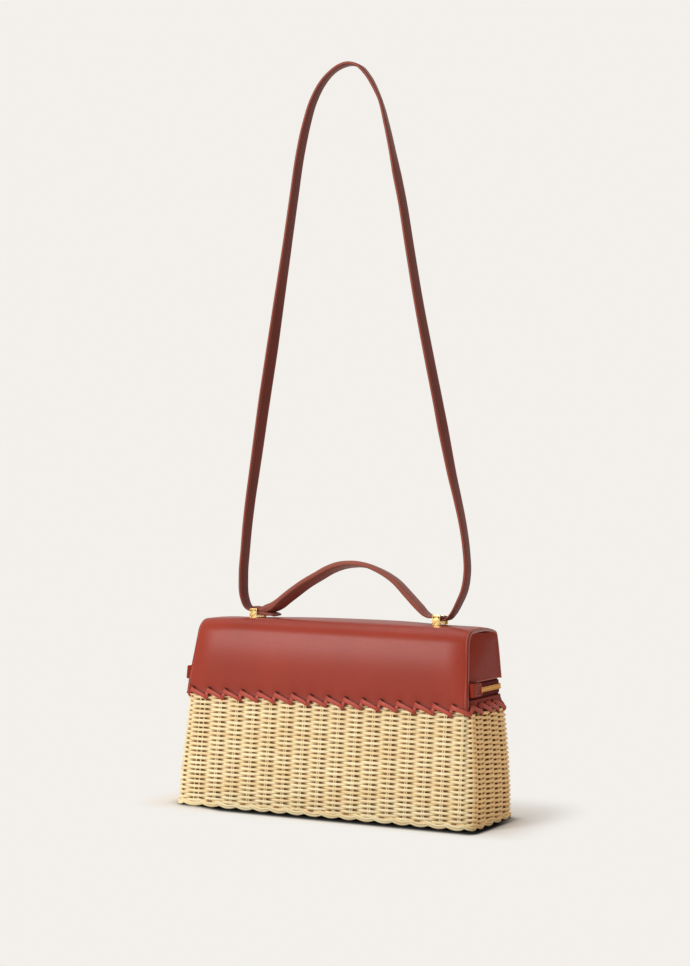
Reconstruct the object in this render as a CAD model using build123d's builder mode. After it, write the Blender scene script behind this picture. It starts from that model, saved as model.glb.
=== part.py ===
"""A top-handle shoulder bag: a woven basket body laced to a folded leather upper, closed by a zip.

Millimetres, +Z up. The origin is on the floor, at the middle of the basket's foot. The long side runs
along X and the front faces -Y. Every ring-shaped piece is worked out from two outlines that shrink with
height: wicker_size for the basket and leather_size for the upper.
"""

import os
from math import atan2, cos, hypot, pi, sin

from build123d import *

os.makedirs("parts", exist_ok=True)

# Basket
base_length = 279.0
base_depth = 102.0
rim_length = 267.0
rim_depth = 92.0
basket_height = 93.5
basket_corner = 14.0
wall_thickness = 6.5
row_count = 44
row_inset = 0.5
row_swing = 3.2
foot_height = 5.0
foot_overhang = 1.0
scallop_count_end = 4
scallop_notch = 1.6
rim_height = 3.2
rim_round = 1.2
base_board = 3.0

# Stakes and the gaps beside them
front_stakes = 16
end_stakes = 6
stake_first = -115.5
stake_pitch = 16.1
stake_shift = 6.0
gap_width = 3.4
gap_height = 1.2
gap_first = 3
gap_pitch = 9

# Leather upper
leather_bottom = 94.3
bag_height = 163.5
lower_length = 259.0
upper_length = 250.0
lower_depth = 92.0
upper_depth = 72.0
cover_thickness = 3.0
cover_round = 14.0
panel_recess = 0.3
panel_thickness = 1.6
panel_corner = 10.0
seam_clearance = 0.3

# Zip
zip_bottom = 105.5
zip_top = 119.5
chain_height = 5.6
chain_thickness = 2.2
chain_recess = 0.85
tape_thickness = 0.5
tape_hidden = 4.0
tooth_pitch = 2.4
tooth_width = 1.3
tooth_depth = 0.5
tab_length = 24.0
tab_height = 11.4
tab_thickness = 5.0
stop_length = 1.6
stop_height = 6.6
slider_length = 11.0
slider_plate = 1.2
slider_lip = 1.2
slider_lug = 1.1
slider_gap = 0.3
lip_gap = 0.2
slider_rest = 1.0
puller_length = 18.0
puller_height = 6.0
puller_thickness = 1.2
pivot_radius = 0.6
eye_radius = 1.3

# Lacing
lace_width = 2.8
lace_pitch = 16.13
lace_run = 12.8
lace_hole_height = 7.5
lace_drop = 11.6
lace_first = -124.4
end_lace_first = -35.0
end_lace_pitch = 16.5
end_laces = 4
hole_radius = 1.5
lace_clearance = 0.25

# Loops that carry the handle and the strap
ring_span = 171.5
ring_length = 7.0
ring_height = 8.6
ring_plate = 1.5
ring_bar_drop = 5.3
ring_bar = 1.4
ring_bar_length = 4.6
ring_round = 1.0
pin_radius = 0.7
pin_offset = 2.35
pin_drop = 2.5
pin_clearance = 0.1
stud_radius = 1.4
stud_length = 8.0
nut_radius = 2.8
nut_height = 2.0
stiffener_thickness = 2.0
stiffener_margin = 6.0

# Straps
strap_width = 15.8
strap_clearance = 0.3
strap_thickness = 2.6
strap_skive = 1.4
handle_thickness = 4.0
handle_rise = 48.5
handle_lean = 7.0
handle_top_run = 46.0
handle_flat = 10.5
handle_flat_rise = 1.2
handle_top_round = 60.0
handle_root_round = 12.0
strap_corners = [
    (-102.3, 184.5), (-100.2, 222.0), (-53.0, 590.0), (-31.0, 645.5),
    (6.0, 645.5), (25.5, 588.0), (58.5, 437.0), (107.0, 236.0), (110.0, 203.0),
]
strap_radii = [22.0, 60.0, 90.0, 22.0, 22.0, 120.0, 600.0, 90.0, 22.0]

# Lining
lining_thickness = 1.0
lining_gap = 0.3


def between(low, high, share):
    """Value that lies the given share of the way from low to high."""
    return low + (high - low) * share


def wicker_size(z):
    """Outer length, depth and corner radius of the basket at height z."""
    share = z / basket_height
    return between(base_length, rim_length, share), between(base_depth, rim_depth, share), basket_corner


def leather_size(z, inset=0.0):
    """Length and depth of the leather upper at height z, moved in by inset on every side."""
    share = (z - leather_bottom) / (bag_height - leather_bottom)
    length = between(lower_length, upper_length, share)
    depth = between(lower_depth, upper_depth, share)
    return length - 2 * inset, depth - 2 * inset


end_lean = atan2((lower_length - upper_length) / 2, bag_height - leather_bottom)
front_lean = atan2((lower_depth - upper_depth) / 2, bag_height - leather_bottom)


def outline(z, length, depth, corner):
    """Rounded rectangle at height z."""
    with BuildSketch(Plane.XY.offset(z)) as section:
        RectangleRounded(length, depth, corner)
    return section.sketch


def wicker_outline(z, inset):
    """Section of the basket at height z, moved in by inset."""
    length, depth, corner = wicker_size(z)
    return outline(z, length - 2 * inset, depth - 2 * inset, corner - inset)


def weave_place(z, column, inset):
    """Point of the basket's outline at height z, moved in by inset, at a stake or part of the way to the next.

    The stakes are counted from the left of the front, round the right end, to the back's first one.
    """
    length, depth, corner = wicker_size(z)
    side, end, arc = length / 2 - corner, depth / 2 - corner, corner * pi / 2
    shrink = side / (base_length / 2 - corner)
    last = (stake_first + (front_stakes - 1) * stake_pitch) * shrink
    opposite = 2 * (side + end + arc) + stake_first * shrink
    if column < front_stakes:
        gone = (stake_first + column * stake_pitch) * shrink
    else:
        gone = between(last, opposite, (column - front_stakes + 1) / (end_stakes + 1))
    past = gone - side
    turn = (min(max(past, 0), arc) + min(max(past - arc - 2 * end, 0), arc)) / corner - pi / 2
    x = min(gone, side) - max(past - 2 * arc - 2 * end, 0) + (corner - inset) * cos(turn)
    y = min(max(past - arc, 0), 2 * end) - end + (corner - inset) * sin(turn)
    return x, y


def woven_row(z, row):
    """Section through the middle of a row: out at one stake and in at the next, and so the other way about
    in the row above. Round the ends it has a point between the stakes too, for the corners.
    """
    half = []
    for step in range(2 * (front_stakes + end_stakes)):
        if step % 2 == 0 or step >= 2 * front_stakes - 2:
            inset = row_inset + row_swing * (1 - cos(pi * (step / 2 + row))) / 2
            half.append(weave_place(z, step / 2, inset))
    with BuildSketch(Plane.XY.offset(z)) as section:
        with BuildLine():
            Polyline(*half, *[(-x, -y) for x, y in half], close=True)
        make_face()
    return section.sketch


def leather_outline(z, inset):
    """Section of the leather upper at height z, moved in by inset."""
    length, depth = leather_size(z, inset)
    return outline(z, length, depth, panel_corner - inset)


def save(piece, name):
    """Labels a finished piece and writes it under its own name."""
    piece.part.label = name
    export_step(piece.part, f"parts/{name}.step")


def behind(z, inset):
    """Distance from the middle plane to the front or back face at height z, moved in by inset."""
    return leather_size(z)[1] / 2 - inset / cos(front_lean)


def side_shape(points):
    """Closed straight-sided shape on the YZ plane."""
    with BuildSketch(Plane.YZ) as shape:
        with BuildLine():
            Polyline(*points, close=True)
        make_face()
    return shape.sketch


def leather_band(low, high, outer_inset, thickness):
    """U-shaped band round both ends and the back, between two heights, open at the front."""
    loft([leather_outline(z, outer_inset) for z in (low, high)], ruled=True)
    inner = outer_inset + thickness
    loft([leather_outline(z, inner) for z in (low, high)], ruled=True, mode=Mode.SUBTRACT)
    front = cover_thickness + seam_clearance
    open_front = side_shape(
        [(-behind(low, front), low), (-lower_depth, low), (-lower_depth, high), (-behind(high, front), high)]
    )
    extrude(open_front, amount=lower_length, both=True, mode=Mode.SUBTRACT)


# Foot border: a braid that rests on the floor, with one scallop for each stake
foot_length = base_length + 2 * foot_overhang
foot_depth = base_depth + 2 * foot_overhang
foot_corner = basket_corner + foot_overhang
with BuildPart() as foot_border:
    with BuildSketch():
        RectangleRounded(foot_length, foot_depth, foot_corner)
        offset(amount=-wall_thickness, mode=Mode.SUBTRACT)
    extrude(amount=foot_height)
    with BuildSketch(Plane.XZ.offset(-foot_depth)):
        with Locations((stake_shift, 0)):
            with GridLocations(stake_pitch, 0, front_stakes - 1, 1):
                Rectangle(scallop_notch, scallop_notch * 2, rotation=45)
    extrude(amount=2 * foot_depth, mode=Mode.SUBTRACT)
    end_pitch = (base_depth - 2 * basket_corner) / scallop_count_end
    with BuildSketch(Plane.YZ.offset(-foot_length)):
        with GridLocations(end_pitch, 0, scallop_count_end, 1):
            Rectangle(scallop_notch, scallop_notch * 2, rotation=45)
    extrude(amount=2 * foot_length, mode=Mode.SUBTRACT)
save(foot_border, "foot_border")

# Basket wall: woven rows that pass in front of one stake and behind the next, with gaps beside some stakes
wall_bottom = foot_height
wall_top = basket_height - rim_height
row_pitch = (wall_top - wall_bottom) / (row_count - 1)
front_gaps = []
end_gaps = []
for column in range(front_stakes + end_stakes - 1):
    for row in range(gap_first + gap_pitch * (column % 2), row_count - 1, 2 * gap_pitch):
        z = wall_bottom + row * row_pitch
        x, y = weave_place(z, column, 0.0)
        if column < front_stakes:
            front_gaps += [(x, y, z), (-x, -y, z)]
        elif column > front_stakes:
            end_gaps += [(x, y, z), (-x, -y, z)]
with BuildPart() as basket_wall:
    loft([woven_row(wall_bottom + row * row_pitch, row) for row in range(row_count)], ruled=True)
    loft([wicker_outline(z, wall_thickness) for z in (wall_bottom, wall_top)], ruled=True, mode=Mode.SUBTRACT)
    with Locations(*front_gaps):
        Box(gap_width, 3 * wall_thickness, gap_height, mode=Mode.SUBTRACT)
    with Locations(*end_gaps):
        Box(3 * wall_thickness, gap_width, gap_height, mode=Mode.SUBTRACT)
save(basket_wall, "basket_wall")

# Rim of the basket: the last rows, closed off round
with BuildPart() as basket_rim:
    rim_heights = (wall_top, basket_height)
    loft([wicker_outline(z, 0.0) for z in rim_heights], ruled=True)
    loft([wicker_outline(z, wall_thickness) for z in rim_heights], ruled=True, mode=Mode.SUBTRACT)
    fillet(basket_rim.faces().sort_by(Axis.Z)[-1].edges(), radius=rim_round)
save(basket_rim, "basket_rim")

# Base board that closes the basket, inside the foot border and flush with the wall's lower edge
with BuildPart() as basket_base:
    extrude(wicker_outline(wall_bottom, wall_thickness + lining_gap), amount=-base_board)
save(basket_base, "basket_base")

# Lining: one open cloth cup that stands on the base board and ends behind the leather band
lining_top = zip_bottom - seam_clearance
lining_inset = wall_thickness + lining_gap
band_inset = panel_recess + panel_thickness + tape_thickness + 3 * lining_gap
top_length, top_depth = leather_size(lining_top, band_inset)
lining_depth_top = min(top_depth, rim_depth - 2 * (lining_inset + lining_thickness))
with BuildPart() as lining:
    lining_mouth = outline(lining_top, top_length, lining_depth_top, basket_corner - lining_inset)
    loft([wicker_outline(wall_bottom, lining_inset), lining_mouth], ruled=True)
    inner = lining_inset + lining_thickness
    inner_mouth = outline(
        lining_top,
        top_length - 2 * lining_thickness,
        lining_depth_top - 2 * lining_thickness,
        basket_corner - inner,
    )
    inner_floor = wicker_outline(wall_bottom + lining_thickness, inner)
    loft([inner_floor, inner_mouth], ruled=True, mode=Mode.SUBTRACT)
save(lining, "lining")


def cover_profile(low, inset):
    """Side profile of the upper from height low, moved in by inset, with its two top edges rounded."""
    top = bag_height - inset
    corners = [(-behind(low, inset), low), (-behind(top, inset), top), (behind(top, inset), top)]
    with BuildSketch(Plane.YZ) as profile:
        with BuildLine():
            Polyline(*corners, (behind(low, inset), low), close=True)
        make_face()
        fillet(profile.vertices().group_by(Axis.Y)[-1], radius=cover_round - inset)
    return profile.sketch


def lean_plane(side, z, inset):
    """Plane through the end face at height z, moved in by inset, facing out of that end."""
    half = leather_size(z)[0] / 2 - inset
    return Plane(origin=(side * half, 0, z), x_dir=(0, 1, 0), z_dir=(side * cos(end_lean), 0, sin(end_lean)))


# Cover: one leather panel, up the front, over the top and down the back to the zip
ring_x = ring_span / 2
plate_y = strap_width / 2 + strap_clearance + ring_plate / 2
stud_places = [(side * ring_x, face * plate_y) for side in (-1, 1) for face in (-1, 1)]
with BuildPart() as cover_panel:
    extrude(cover_profile(leather_bottom, 0.0), amount=lower_length / 2, both=True)
    hollow = cover_profile(leather_bottom, cover_thickness)
    extrude(hollow, amount=lower_length / 2, both=True, mode=Mode.SUBTRACT)
    below_zip = side_shape([(0, 0), (lower_depth, 0), (lower_depth, zip_top), (0, zip_top)])
    extrude(below_zip, amount=lower_length / 2, both=True, mode=Mode.SUBTRACT)
    skive_top = zip_top + tape_hidden + seam_clearance
    skive_inset = panel_recess + panel_thickness
    skived_edge = side_shape(
        [(0, zip_top), (behind(zip_top, skive_inset), zip_top), (behind(skive_top, skive_inset), skive_top),
         (0, skive_top)]
    )
    extrude(skived_edge, amount=lower_length / 2, both=True, mode=Mode.SUBTRACT)
    for side in (-1, 1):
        split(bisect_by=lean_plane(side, leather_bottom, 0.0), keep=Keep.BOTTOM)
    with BuildSketch(Plane.XZ):
        for hole in range(front_stakes):
            with Locations((lace_first + hole * lace_pitch, leather_bottom + lace_hole_height)):
                Circle(hole_radius)
    extrude(amount=lower_depth, mode=Mode.SUBTRACT)
    with BuildSketch(Plane.XY.offset(bag_height - cover_thickness)):
        with Locations(*stud_places):
            Circle(stud_radius + pin_clearance)
    extrude(amount=cover_thickness, mode=Mode.SUBTRACT)
save(cover_panel, "cover_panel")

# Stiffener board under the top, which carries both loops
board_top = bag_height - cover_thickness
stiffener_width = upper_depth - 2 * cover_round
with BuildPart() as top_stiffener:
    with BuildSketch(Plane.XY.offset(board_top - stiffener_thickness)):
        RectangleRounded(
            upper_length - 2 * (panel_recess + panel_thickness + stiffener_margin), stiffener_width, ring_plate
        )
        with Locations(*stud_places):
            Circle(stud_radius + pin_clearance, mode=Mode.SUBTRACT)
    extrude(amount=stiffener_thickness)
save(top_stiffener, "top_stiffener")

# End panels: flat leather gussets set in a little from the cover's edges
for side, name in ((-1, "end_panel_left"), (1, "end_panel_right")):
    with BuildPart() as end_panel:
        extrude(cover_profile(zip_top, cover_thickness + seam_clearance), amount=side * lower_length / 2)
        split(bisect_by=lean_plane(side, leather_bottom, panel_recess), keep=Keep.BOTTOM)
        split(bisect_by=lean_plane(side, leather_bottom, panel_recess + panel_thickness), keep=Keep.TOP)
    save(end_panel, name)

# Lower leather band round both ends and the back, laced to the basket
end_lace_places = [end_lace_first + place * end_lace_pitch for place in range(end_laces)]
back_lace_places = [-lace_first - place * lace_pitch for place in range(front_stakes)]
with BuildPart() as collar_band:
    leather_band(leather_bottom, zip_bottom, panel_recess, panel_thickness)
    with BuildSketch(Plane.XZ):
        for x in back_lace_places[1:]:
            with Locations((x, leather_bottom + lace_hole_height)):
                Circle(hole_radius)
    extrude(amount=-lower_depth, mode=Mode.SUBTRACT)
    for side in (-1, 1):
        with BuildSketch(Plane.YZ):
            for y in end_lace_places:
                with Locations((side * y, leather_bottom + lace_hole_height)):
                    Circle(hole_radius)
        extrude(amount=side * lower_length, mode=Mode.SUBTRACT)
save(collar_band, "collar_band")

# Zip: a tape above and below, and the closed row of teeth between them
chain_bottom = (zip_bottom + zip_top - chain_height) / 2
chain_top = chain_bottom + chain_height
tape_inset = panel_recess + panel_thickness + seam_clearance / 3
for name, low, high in (
    ("zip_tape_lower", zip_bottom - tape_hidden, chain_bottom),
    ("zip_tape_upper", chain_top, zip_top + tape_hidden),
):
    with BuildPart() as tape:
        leather_band(low, high, tape_inset, tape_thickness)
    save(tape, name)

chain_inset = panel_recess + chain_recess
chain_middle = (chain_bottom + chain_top) / 2
with BuildPart() as zip_teeth:
    leather_band(chain_bottom, chain_top, chain_inset + tooth_depth, chain_thickness - tooth_depth)
    chain_length, chain_depth = leather_size(chain_middle, chain_inset)
    back_run = chain_length - 2 * panel_corner
    end_run = chain_depth - 2 * panel_corner
    back_plane = Plane(
        origin=(0, chain_depth / 2, chain_middle), x_dir=(1, 0, 0), z_dir=(0, -cos(front_lean), -sin(front_lean))
    )
    with BuildSketch(back_plane):
        with GridLocations(tooth_pitch, 0, int(back_run / tooth_pitch), 1):
            Rectangle(tooth_width, chain_height)
    extrude(amount=tooth_depth + seam_clearance / 3)
    for side in (-1, 1):
        end_plane = Plane(
            origin=(side * chain_length / 2, 0, chain_middle),
            x_dir=(0, 1, 0),
            z_dir=(-side * cos(end_lean), 0, -sin(end_lean)),
        )
        with BuildSketch(end_plane):
            with GridLocations(tooth_pitch, 0, int(end_run / tooth_pitch), 1):
                Rectangle(tooth_width, chain_height)
        extrude(amount=tooth_depth + seam_clearance / 3)
save(zip_teeth, "zip_teeth")

# Folded leather tabs that cover both ends of the zip, at the front corners
tab_front = -(leather_size(zip_top)[1] / 2 - cover_thickness / cos(front_lean) - seam_clearance)
tab_back = tab_front + tab_length
tab_inset = chain_inset - seam_clearance


def end_frame(side, y):
    """Frame on an end face at the middle of the zip: Z faces out of that end and X runs to the back."""
    half = leather_size(chain_middle, tab_inset)[0] / 2
    return Plane(
        origin=(side * half, y, chain_middle), x_dir=(0, 1, 0), z_dir=(side * cos(end_lean), 0, sin(end_lean))
    )


for side, name in ((-1, "zip_tab_left"), (1, "zip_tab_right")):
    with BuildPart() as zip_tab:
        with BuildSketch(end_frame(side, (tab_front + tab_back) / 2)):
            RectangleRounded(tab_length, tab_height, ring_round)
        extrude(amount=tab_thickness)
        outer_face = zip_tab.faces().sort_by(Axis.X)[-1 if side > 0 else 0]
        fillet(outer_face.edges(), radius=ring_round)
    save(zip_tab, name)

# Metal stop where the zip meets the right tab
with BuildPart() as zip_stop:
    with BuildSketch(end_frame(1, tab_back + seam_clearance + stop_length / 2)):
        Rectangle(stop_length, stop_height)
    extrude(amount=slider_plate)
save(zip_stop, "zip_stop")

# Slider at the left end: an outer plate and an inner plate, each with lips over the teeth's edges
slider_y = tab_back + slider_rest + slider_length / 2
slider_inner_height = chain_height + 2 * slider_gap
slider_height = slider_inner_height + 2 * slider_lip
tape_outer = tape_inset - tab_inset
lug_inner = puller_height + 2 * slider_gap
lug_height = slider_plate + 2 * eye_radius + slider_gap
pivot_height = slider_plate + slider_gap + eye_radius
slider_frame = end_frame(-1, slider_y)
with BuildPart() as zip_slider:
    with BuildSketch(slider_frame):
        RectangleRounded(slider_length, slider_height, ring_round)
    extrude(amount=slider_plate)
    with BuildSketch(slider_frame):
        for lip in (-1, 1):
            with Locations((0, lip * (slider_inner_height + slider_lip) / 2)):
                Rectangle(slider_length - 2 * ring_round, slider_lip)
    extrude(amount=-(tape_outer - lip_gap))
    with BuildSketch(slider_frame):
        for lug in (-1, 1):
            with Locations((0, lug * (lug_inner + slider_lug) / 2)):
                Rectangle(2 * eye_radius, slider_lug)
    extrude(amount=lug_height)
    pin_frame = slider_frame.offset(pivot_height)
    with BuildSketch(Plane(origin=pin_frame.origin, x_dir=(0, 1, 0), z_dir=pin_frame.y_dir)):
        Circle(pivot_radius)
    extrude(amount=(lug_inner + slider_lug) / 2, both=True)
    inner_face = slider_gap + chain_thickness + slider_gap
    inner_frame = slider_frame.offset(-inner_face)
    with BuildSketch(inner_frame):
        RectangleRounded(slider_length, slider_height, ring_round)
    extrude(amount=-slider_plate)
    with BuildSketch(inner_frame):
        for lip in (-1, 1):
            with Locations((0, lip * (slider_inner_height + slider_lip) / 2)):
                Rectangle(slider_length - 2 * ring_round, slider_lip)
    extrude(amount=inner_face - tape_outer - tape_thickness - lip_gap)
save(zip_slider, "zip_slider")

# Puller: a flat tab on the slider's pin, lying back along the zip
with BuildPart() as zip_puller:
    eye_plane = Plane(origin=pin_frame.origin, x_dir=(0, 1, 0), z_dir=pin_frame.y_dir)
    with BuildSketch(eye_plane):
        Circle(eye_radius)
        with Locations((puller_length / 2, 0)):
            Rectangle(puller_length, puller_thickness)
        Circle(pivot_radius + slider_gap, mode=Mode.SUBTRACT)
    extrude(amount=puller_height / 2, both=True)
save(zip_puller, "zip_puller")


def stitch(start, end):
    """One straight run of lace, round in section."""
    run = [b - a for a, b in zip(start, end)]
    with BuildSketch(Plane(origin=start, z_dir=tuple(run))) as section:
        Circle(lace_width / 2)
    extrude(section.sketch, amount=hypot(*run))


# Lacing: one slanting stitch for each stake, from a hole in the leather to the rim of the basket
lace_top = leather_bottom + lace_hole_height
lace_bottom = lace_top - lace_drop
stand_off = (lace_width / 2 + lace_clearance) / cos(front_lean)
front_top = leather_size(lace_top)[1] / 2 + stand_off
front_bottom = leather_size(lace_bottom)[1] / 2 + stand_off
end_top = leather_size(lace_top)[0] / 2 - panel_recess + stand_off
end_bottom = wicker_size(lace_bottom)[0] / 2 + stand_off + rim_round
with BuildPart() as lacing:
    for way in (-1, 1):
        for place in range(front_stakes):
            x = lace_first + place * lace_pitch
            stitch((-way * x, way * front_top, lace_top), (-way * (x + lace_run), way * front_bottom, lace_bottom))
        for y in end_lace_places:
            stitch((-way * end_top, -way * y, lace_top), (-way * end_bottom, -way * (y + lace_run), lace_bottom))
save(lacing, "lacing")

# Loops: two side plates joined by a bar, with studs that go down through the top
pin_height = bag_height + ring_height - pin_drop
for side, name in ((-1, "ring_left"), (1, "ring_right")):
    with BuildPart() as ring:
        for face in (-1, 1):
            with BuildSketch(Plane.XZ.offset(-face * plate_y - ring_plate / 2)) as plate:
                with Locations((side * ring_x, bag_height + ring_height / 2)):
                    Rectangle(ring_length, ring_height)
                fillet(plate.vertices().group_by(Axis.Y)[-1], radius=ring_round)
                for pin in (-1, 1):
                    with Locations((side * ring_x + pin * pin_offset, pin_height)):
                        Circle(pin_radius + pin_clearance / 2, mode=Mode.SUBTRACT)
            extrude(amount=ring_plate)
        with Locations((side * ring_x, 0, bag_height + ring_height - ring_bar_drop - ring_bar)):
            Box(
                ring_bar_length, 2 * plate_y - ring_plate, ring_bar,
                align=(Align.CENTER, Align.CENTER, Align.MIN),
            )
        with BuildSketch(Plane.XY.offset(bag_height)):
            with Locations(*[place for place in stud_places if place[0] * side > 0]):
                Circle(stud_radius)
        extrude(amount=-stud_length)
    save(ring, name)

# Nuts under the stiffener
with BuildPart() as ring_nuts:
    with BuildSketch(Plane.XY.offset(board_top - stiffener_thickness)):
        with Locations(*stud_places):
            RegularPolygon(nut_radius, 6)
            Circle(stud_radius + pin_clearance / 2, mode=Mode.SUBTRACT)
    extrude(amount=-nut_height)
save(ring_nuts, "ring_nuts")

# Pins through the side plates, inner ones for the handle and outer ones for the strap
pin_reach = 2 * plate_y + ring_plate
for name, direction in (("handle_pins", -1), ("strap_pins", 1)):
    with BuildPart() as pins:
        with BuildSketch(Plane.XZ.offset(-pin_reach / 2)):
            for side in (-1, 1):
                with Locations((side * (ring_x + direction * pin_offset), pin_height)):
                    Circle(pin_radius)
        extrude(amount=pin_reach)
    save(pins, name)


def band(route, radii, thickness, hook):
    """Flat leather band: a route of tangent arcs with an eye round a pin at each end."""
    with BuildSketch(Plane.XZ.offset(-strap_width / 2)) as edge_on:
        with BuildLine():
            FilletPolyline(*route, radius=radii)
        trace(line_width=thickness)
        with Locations(route[0], route[-1]):
            Circle(hook)
            Circle(pin_radius + pin_clearance, mode=Mode.SUBTRACT)
    extrude(edge_on.sketch, amount=strap_width)


# Handle: a stiff leather arch, its two ends folded round the inner pins
eye_outer = pin_radius + pin_clearance + strap_skive
handle_pin = ring_x - pin_offset
handle_route = [
    (-handle_pin, pin_height),
    (-handle_pin + handle_flat, pin_height + handle_flat_rise),
    (handle_lean - handle_top_run / 2, bag_height + handle_rise),
    (handle_lean + handle_top_run / 2, bag_height + handle_rise),
    (handle_pin - handle_flat, pin_height + handle_flat_rise),
    (handle_pin, pin_height),
]
with BuildPart() as handle:
    band(handle_route, [handle_root_round, handle_top_round, handle_top_round, handle_root_round],
         handle_thickness, eye_outer)
save(handle, "handle")

# Shoulder strap: one long leather band that stands up in a narrow loop, as it is shown
strap_pin = ring_x + pin_offset
strap_route = [(-strap_pin, pin_height), *strap_corners, (strap_pin, pin_height)]
with BuildPart() as shoulder_strap:
    band(strap_route, strap_radii, strap_thickness, eye_outer)
save(shoulder_strap, "shoulder_strap")
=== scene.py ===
"""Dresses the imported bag: woven wicker basket, folded leather upper, lacing, zip, loops, handle and strap.

Sizes are in millimetres until a mesh is made. The bag stands on the floor at the origin, its long side
along X and its front towards -Y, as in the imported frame.
"""

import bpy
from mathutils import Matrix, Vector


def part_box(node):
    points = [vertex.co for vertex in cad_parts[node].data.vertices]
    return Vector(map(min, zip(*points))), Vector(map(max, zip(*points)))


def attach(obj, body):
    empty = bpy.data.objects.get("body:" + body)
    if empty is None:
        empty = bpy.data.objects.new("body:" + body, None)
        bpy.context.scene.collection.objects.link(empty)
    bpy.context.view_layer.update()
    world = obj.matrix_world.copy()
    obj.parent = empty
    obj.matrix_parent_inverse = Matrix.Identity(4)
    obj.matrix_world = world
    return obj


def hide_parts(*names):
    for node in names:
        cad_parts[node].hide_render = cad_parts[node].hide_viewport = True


bl_info = {
    "name": "Basket Bag Dressing",
    "version": (1, 0, 0),
    "blender": (4, 5, 0),
    "location": "3D View > Sidebar > Basket Bag",
    "description": "Weaves, cuts, laces and finishes a basket bag on its packed frame",
    "category": "Object",
}

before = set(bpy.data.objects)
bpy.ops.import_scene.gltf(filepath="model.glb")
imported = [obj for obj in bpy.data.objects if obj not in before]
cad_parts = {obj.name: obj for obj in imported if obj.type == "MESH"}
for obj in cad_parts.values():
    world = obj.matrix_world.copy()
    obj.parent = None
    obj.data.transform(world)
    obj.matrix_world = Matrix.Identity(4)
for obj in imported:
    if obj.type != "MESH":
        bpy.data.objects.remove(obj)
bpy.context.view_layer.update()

from math import atan2, cos, pi, radians, sin, tan

import bmesh
import bpy
import numpy as np
from bpy.props import FloatProperty, FloatVectorProperty, IntProperty, PointerProperty
from bpy.types import Operator, Panel, PropertyGroup
from mathutils import Matrix, Vector

MM = 0.001
TURN = 2 * pi

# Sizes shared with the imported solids
LEATHER_BOTTOM, BAG_TOP, ZIP_TOP = 94.3, 163.5, 119.5
LEATHER_LOW, LEATHER_HIGH = (259.0, 92.0), (250.0, 72.0)
COVER_THICKNESS, FOLD_RADIUS = 3.0, 14.0
FRONT_LEAN = atan2((LEATHER_LOW[1] - LEATHER_HIGH[1]) / 2, BAG_TOP - LEATHER_BOTTOM)
END_LEAN = atan2((LEATHER_LOW[0] - LEATHER_HIGH[0]) / 2, BAG_TOP - LEATHER_BOTTOM)
LACE_PITCH, LACE_FIRST = 16.13, -124.4
END_LACES, END_LACE_PITCH, LONE_PITCH = (-35.6, -13.2, 3.6, 20.4), 16.8, 200.0
RING_X, PIN_OFFSET, PIN_HEIGHT = 85.75, 2.35, 169.6
BASKET_HEIGHT, BASKET_LOW, BASKET_HIGH, BASKET_CORNER = 93.5, (279.0, 102.0), (267.0, 92.0), 11.0

# Length gone round, from the middle of the front, to each stake of a half and to the first of the next half,
# at the stake's foot and at its top: 16 in an even row on the front, then those of the right end
STAKES = 44
FRONT_STAKES = np.arange(16)
STAKES_LOW = (*(-115.5 + 16.09 * FRONT_STAKES), 140.6, 156.5, 178.5, 199.5, 218.5, 237.4, 253.5)
STAKES_HIGH = (*(-113.4 + 15.95 * FRONT_STAKES), 136.1, 149.5, 170.5, 187.5, 203.5, 217.7, 233.6)

# Lace holes: place after the lace's start, height, half length, half height and tilt in degrees
LACE_HOLES = ((0.1, 102.1, 2.6, 1.0, 16.0), (-0.6, 96.9, 1.3, 0.9, 15.0))
END_LACE_HOLES = ((0.4, 102.3, 2.0, 1.1, 60.0), (-0.8, 96.9, 1.4, 1.0, 15.0))

# Sizes of the visual model only
ZIP_HEIGHT = 112.5
TUCKED_ABOVE, TUCKED_X = 94.0, 128.0
SEAM_INSET, PRESS_REACH, CUT_ROUNDING = 2.3, 13.0, 1.3

# Numbers of the materials, in metres, and linear colours
RIM_BLUR, END_ROW_START = 0.0004, (-0.0225, -0.0215)
ROOM_COLOUR, SHADOW_COLOUR = (1.0, 0.98, 0.955), (0.02, 0.02, 0.021)


def paint(red, green, blue):
    """Linear colour of a screen colour given from 0 to 255."""
    values = np.array([red, green, blue]) / 255
    linear = np.where(values <= 0.04045, values / 12.92, ((values + 0.055) / 1.055) ** 2.4)
    return tuple(float(v) for v in linear)


# Making meshes


def unit(vectors):
    """Each vector divided by its own length."""
    return vectors / np.maximum(np.linalg.norm(vectors, axis=-1, keepdims=True), 1e-9)


def smooth_step(value, low, high):
    """Share from 0 to 1 between two limits: t squared times 3 - 2 t."""
    t = np.clip((value - low) / (high - low), 0, 1)
    return t * t * (3 - 2 * t)


def grid_faces(rows, cols, wrap_rows=False, wrap_cols=False):
    """Four-sided faces of a grid, with the row and column of each corner left unwrapped for the UV map."""
    i, j = np.indices((rows if wrap_rows else rows - 1, cols if wrap_cols else cols - 1))
    at_row = np.stack([i, i, i + 1, i + 1], -1).reshape(-1, 4)
    at_col = np.stack([j, j + 1, j + 1, j], -1).reshape(-1, 4)
    return (at_row % rows) * cols + at_col % cols, at_row, at_col


def put_in_scene(name, data):
    """New object that holds the given mesh, camera or lamp."""
    thing = bpy.data.objects.new(name, data)
    bpy.context.scene.collection.objects.link(thing)
    return thing


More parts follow.
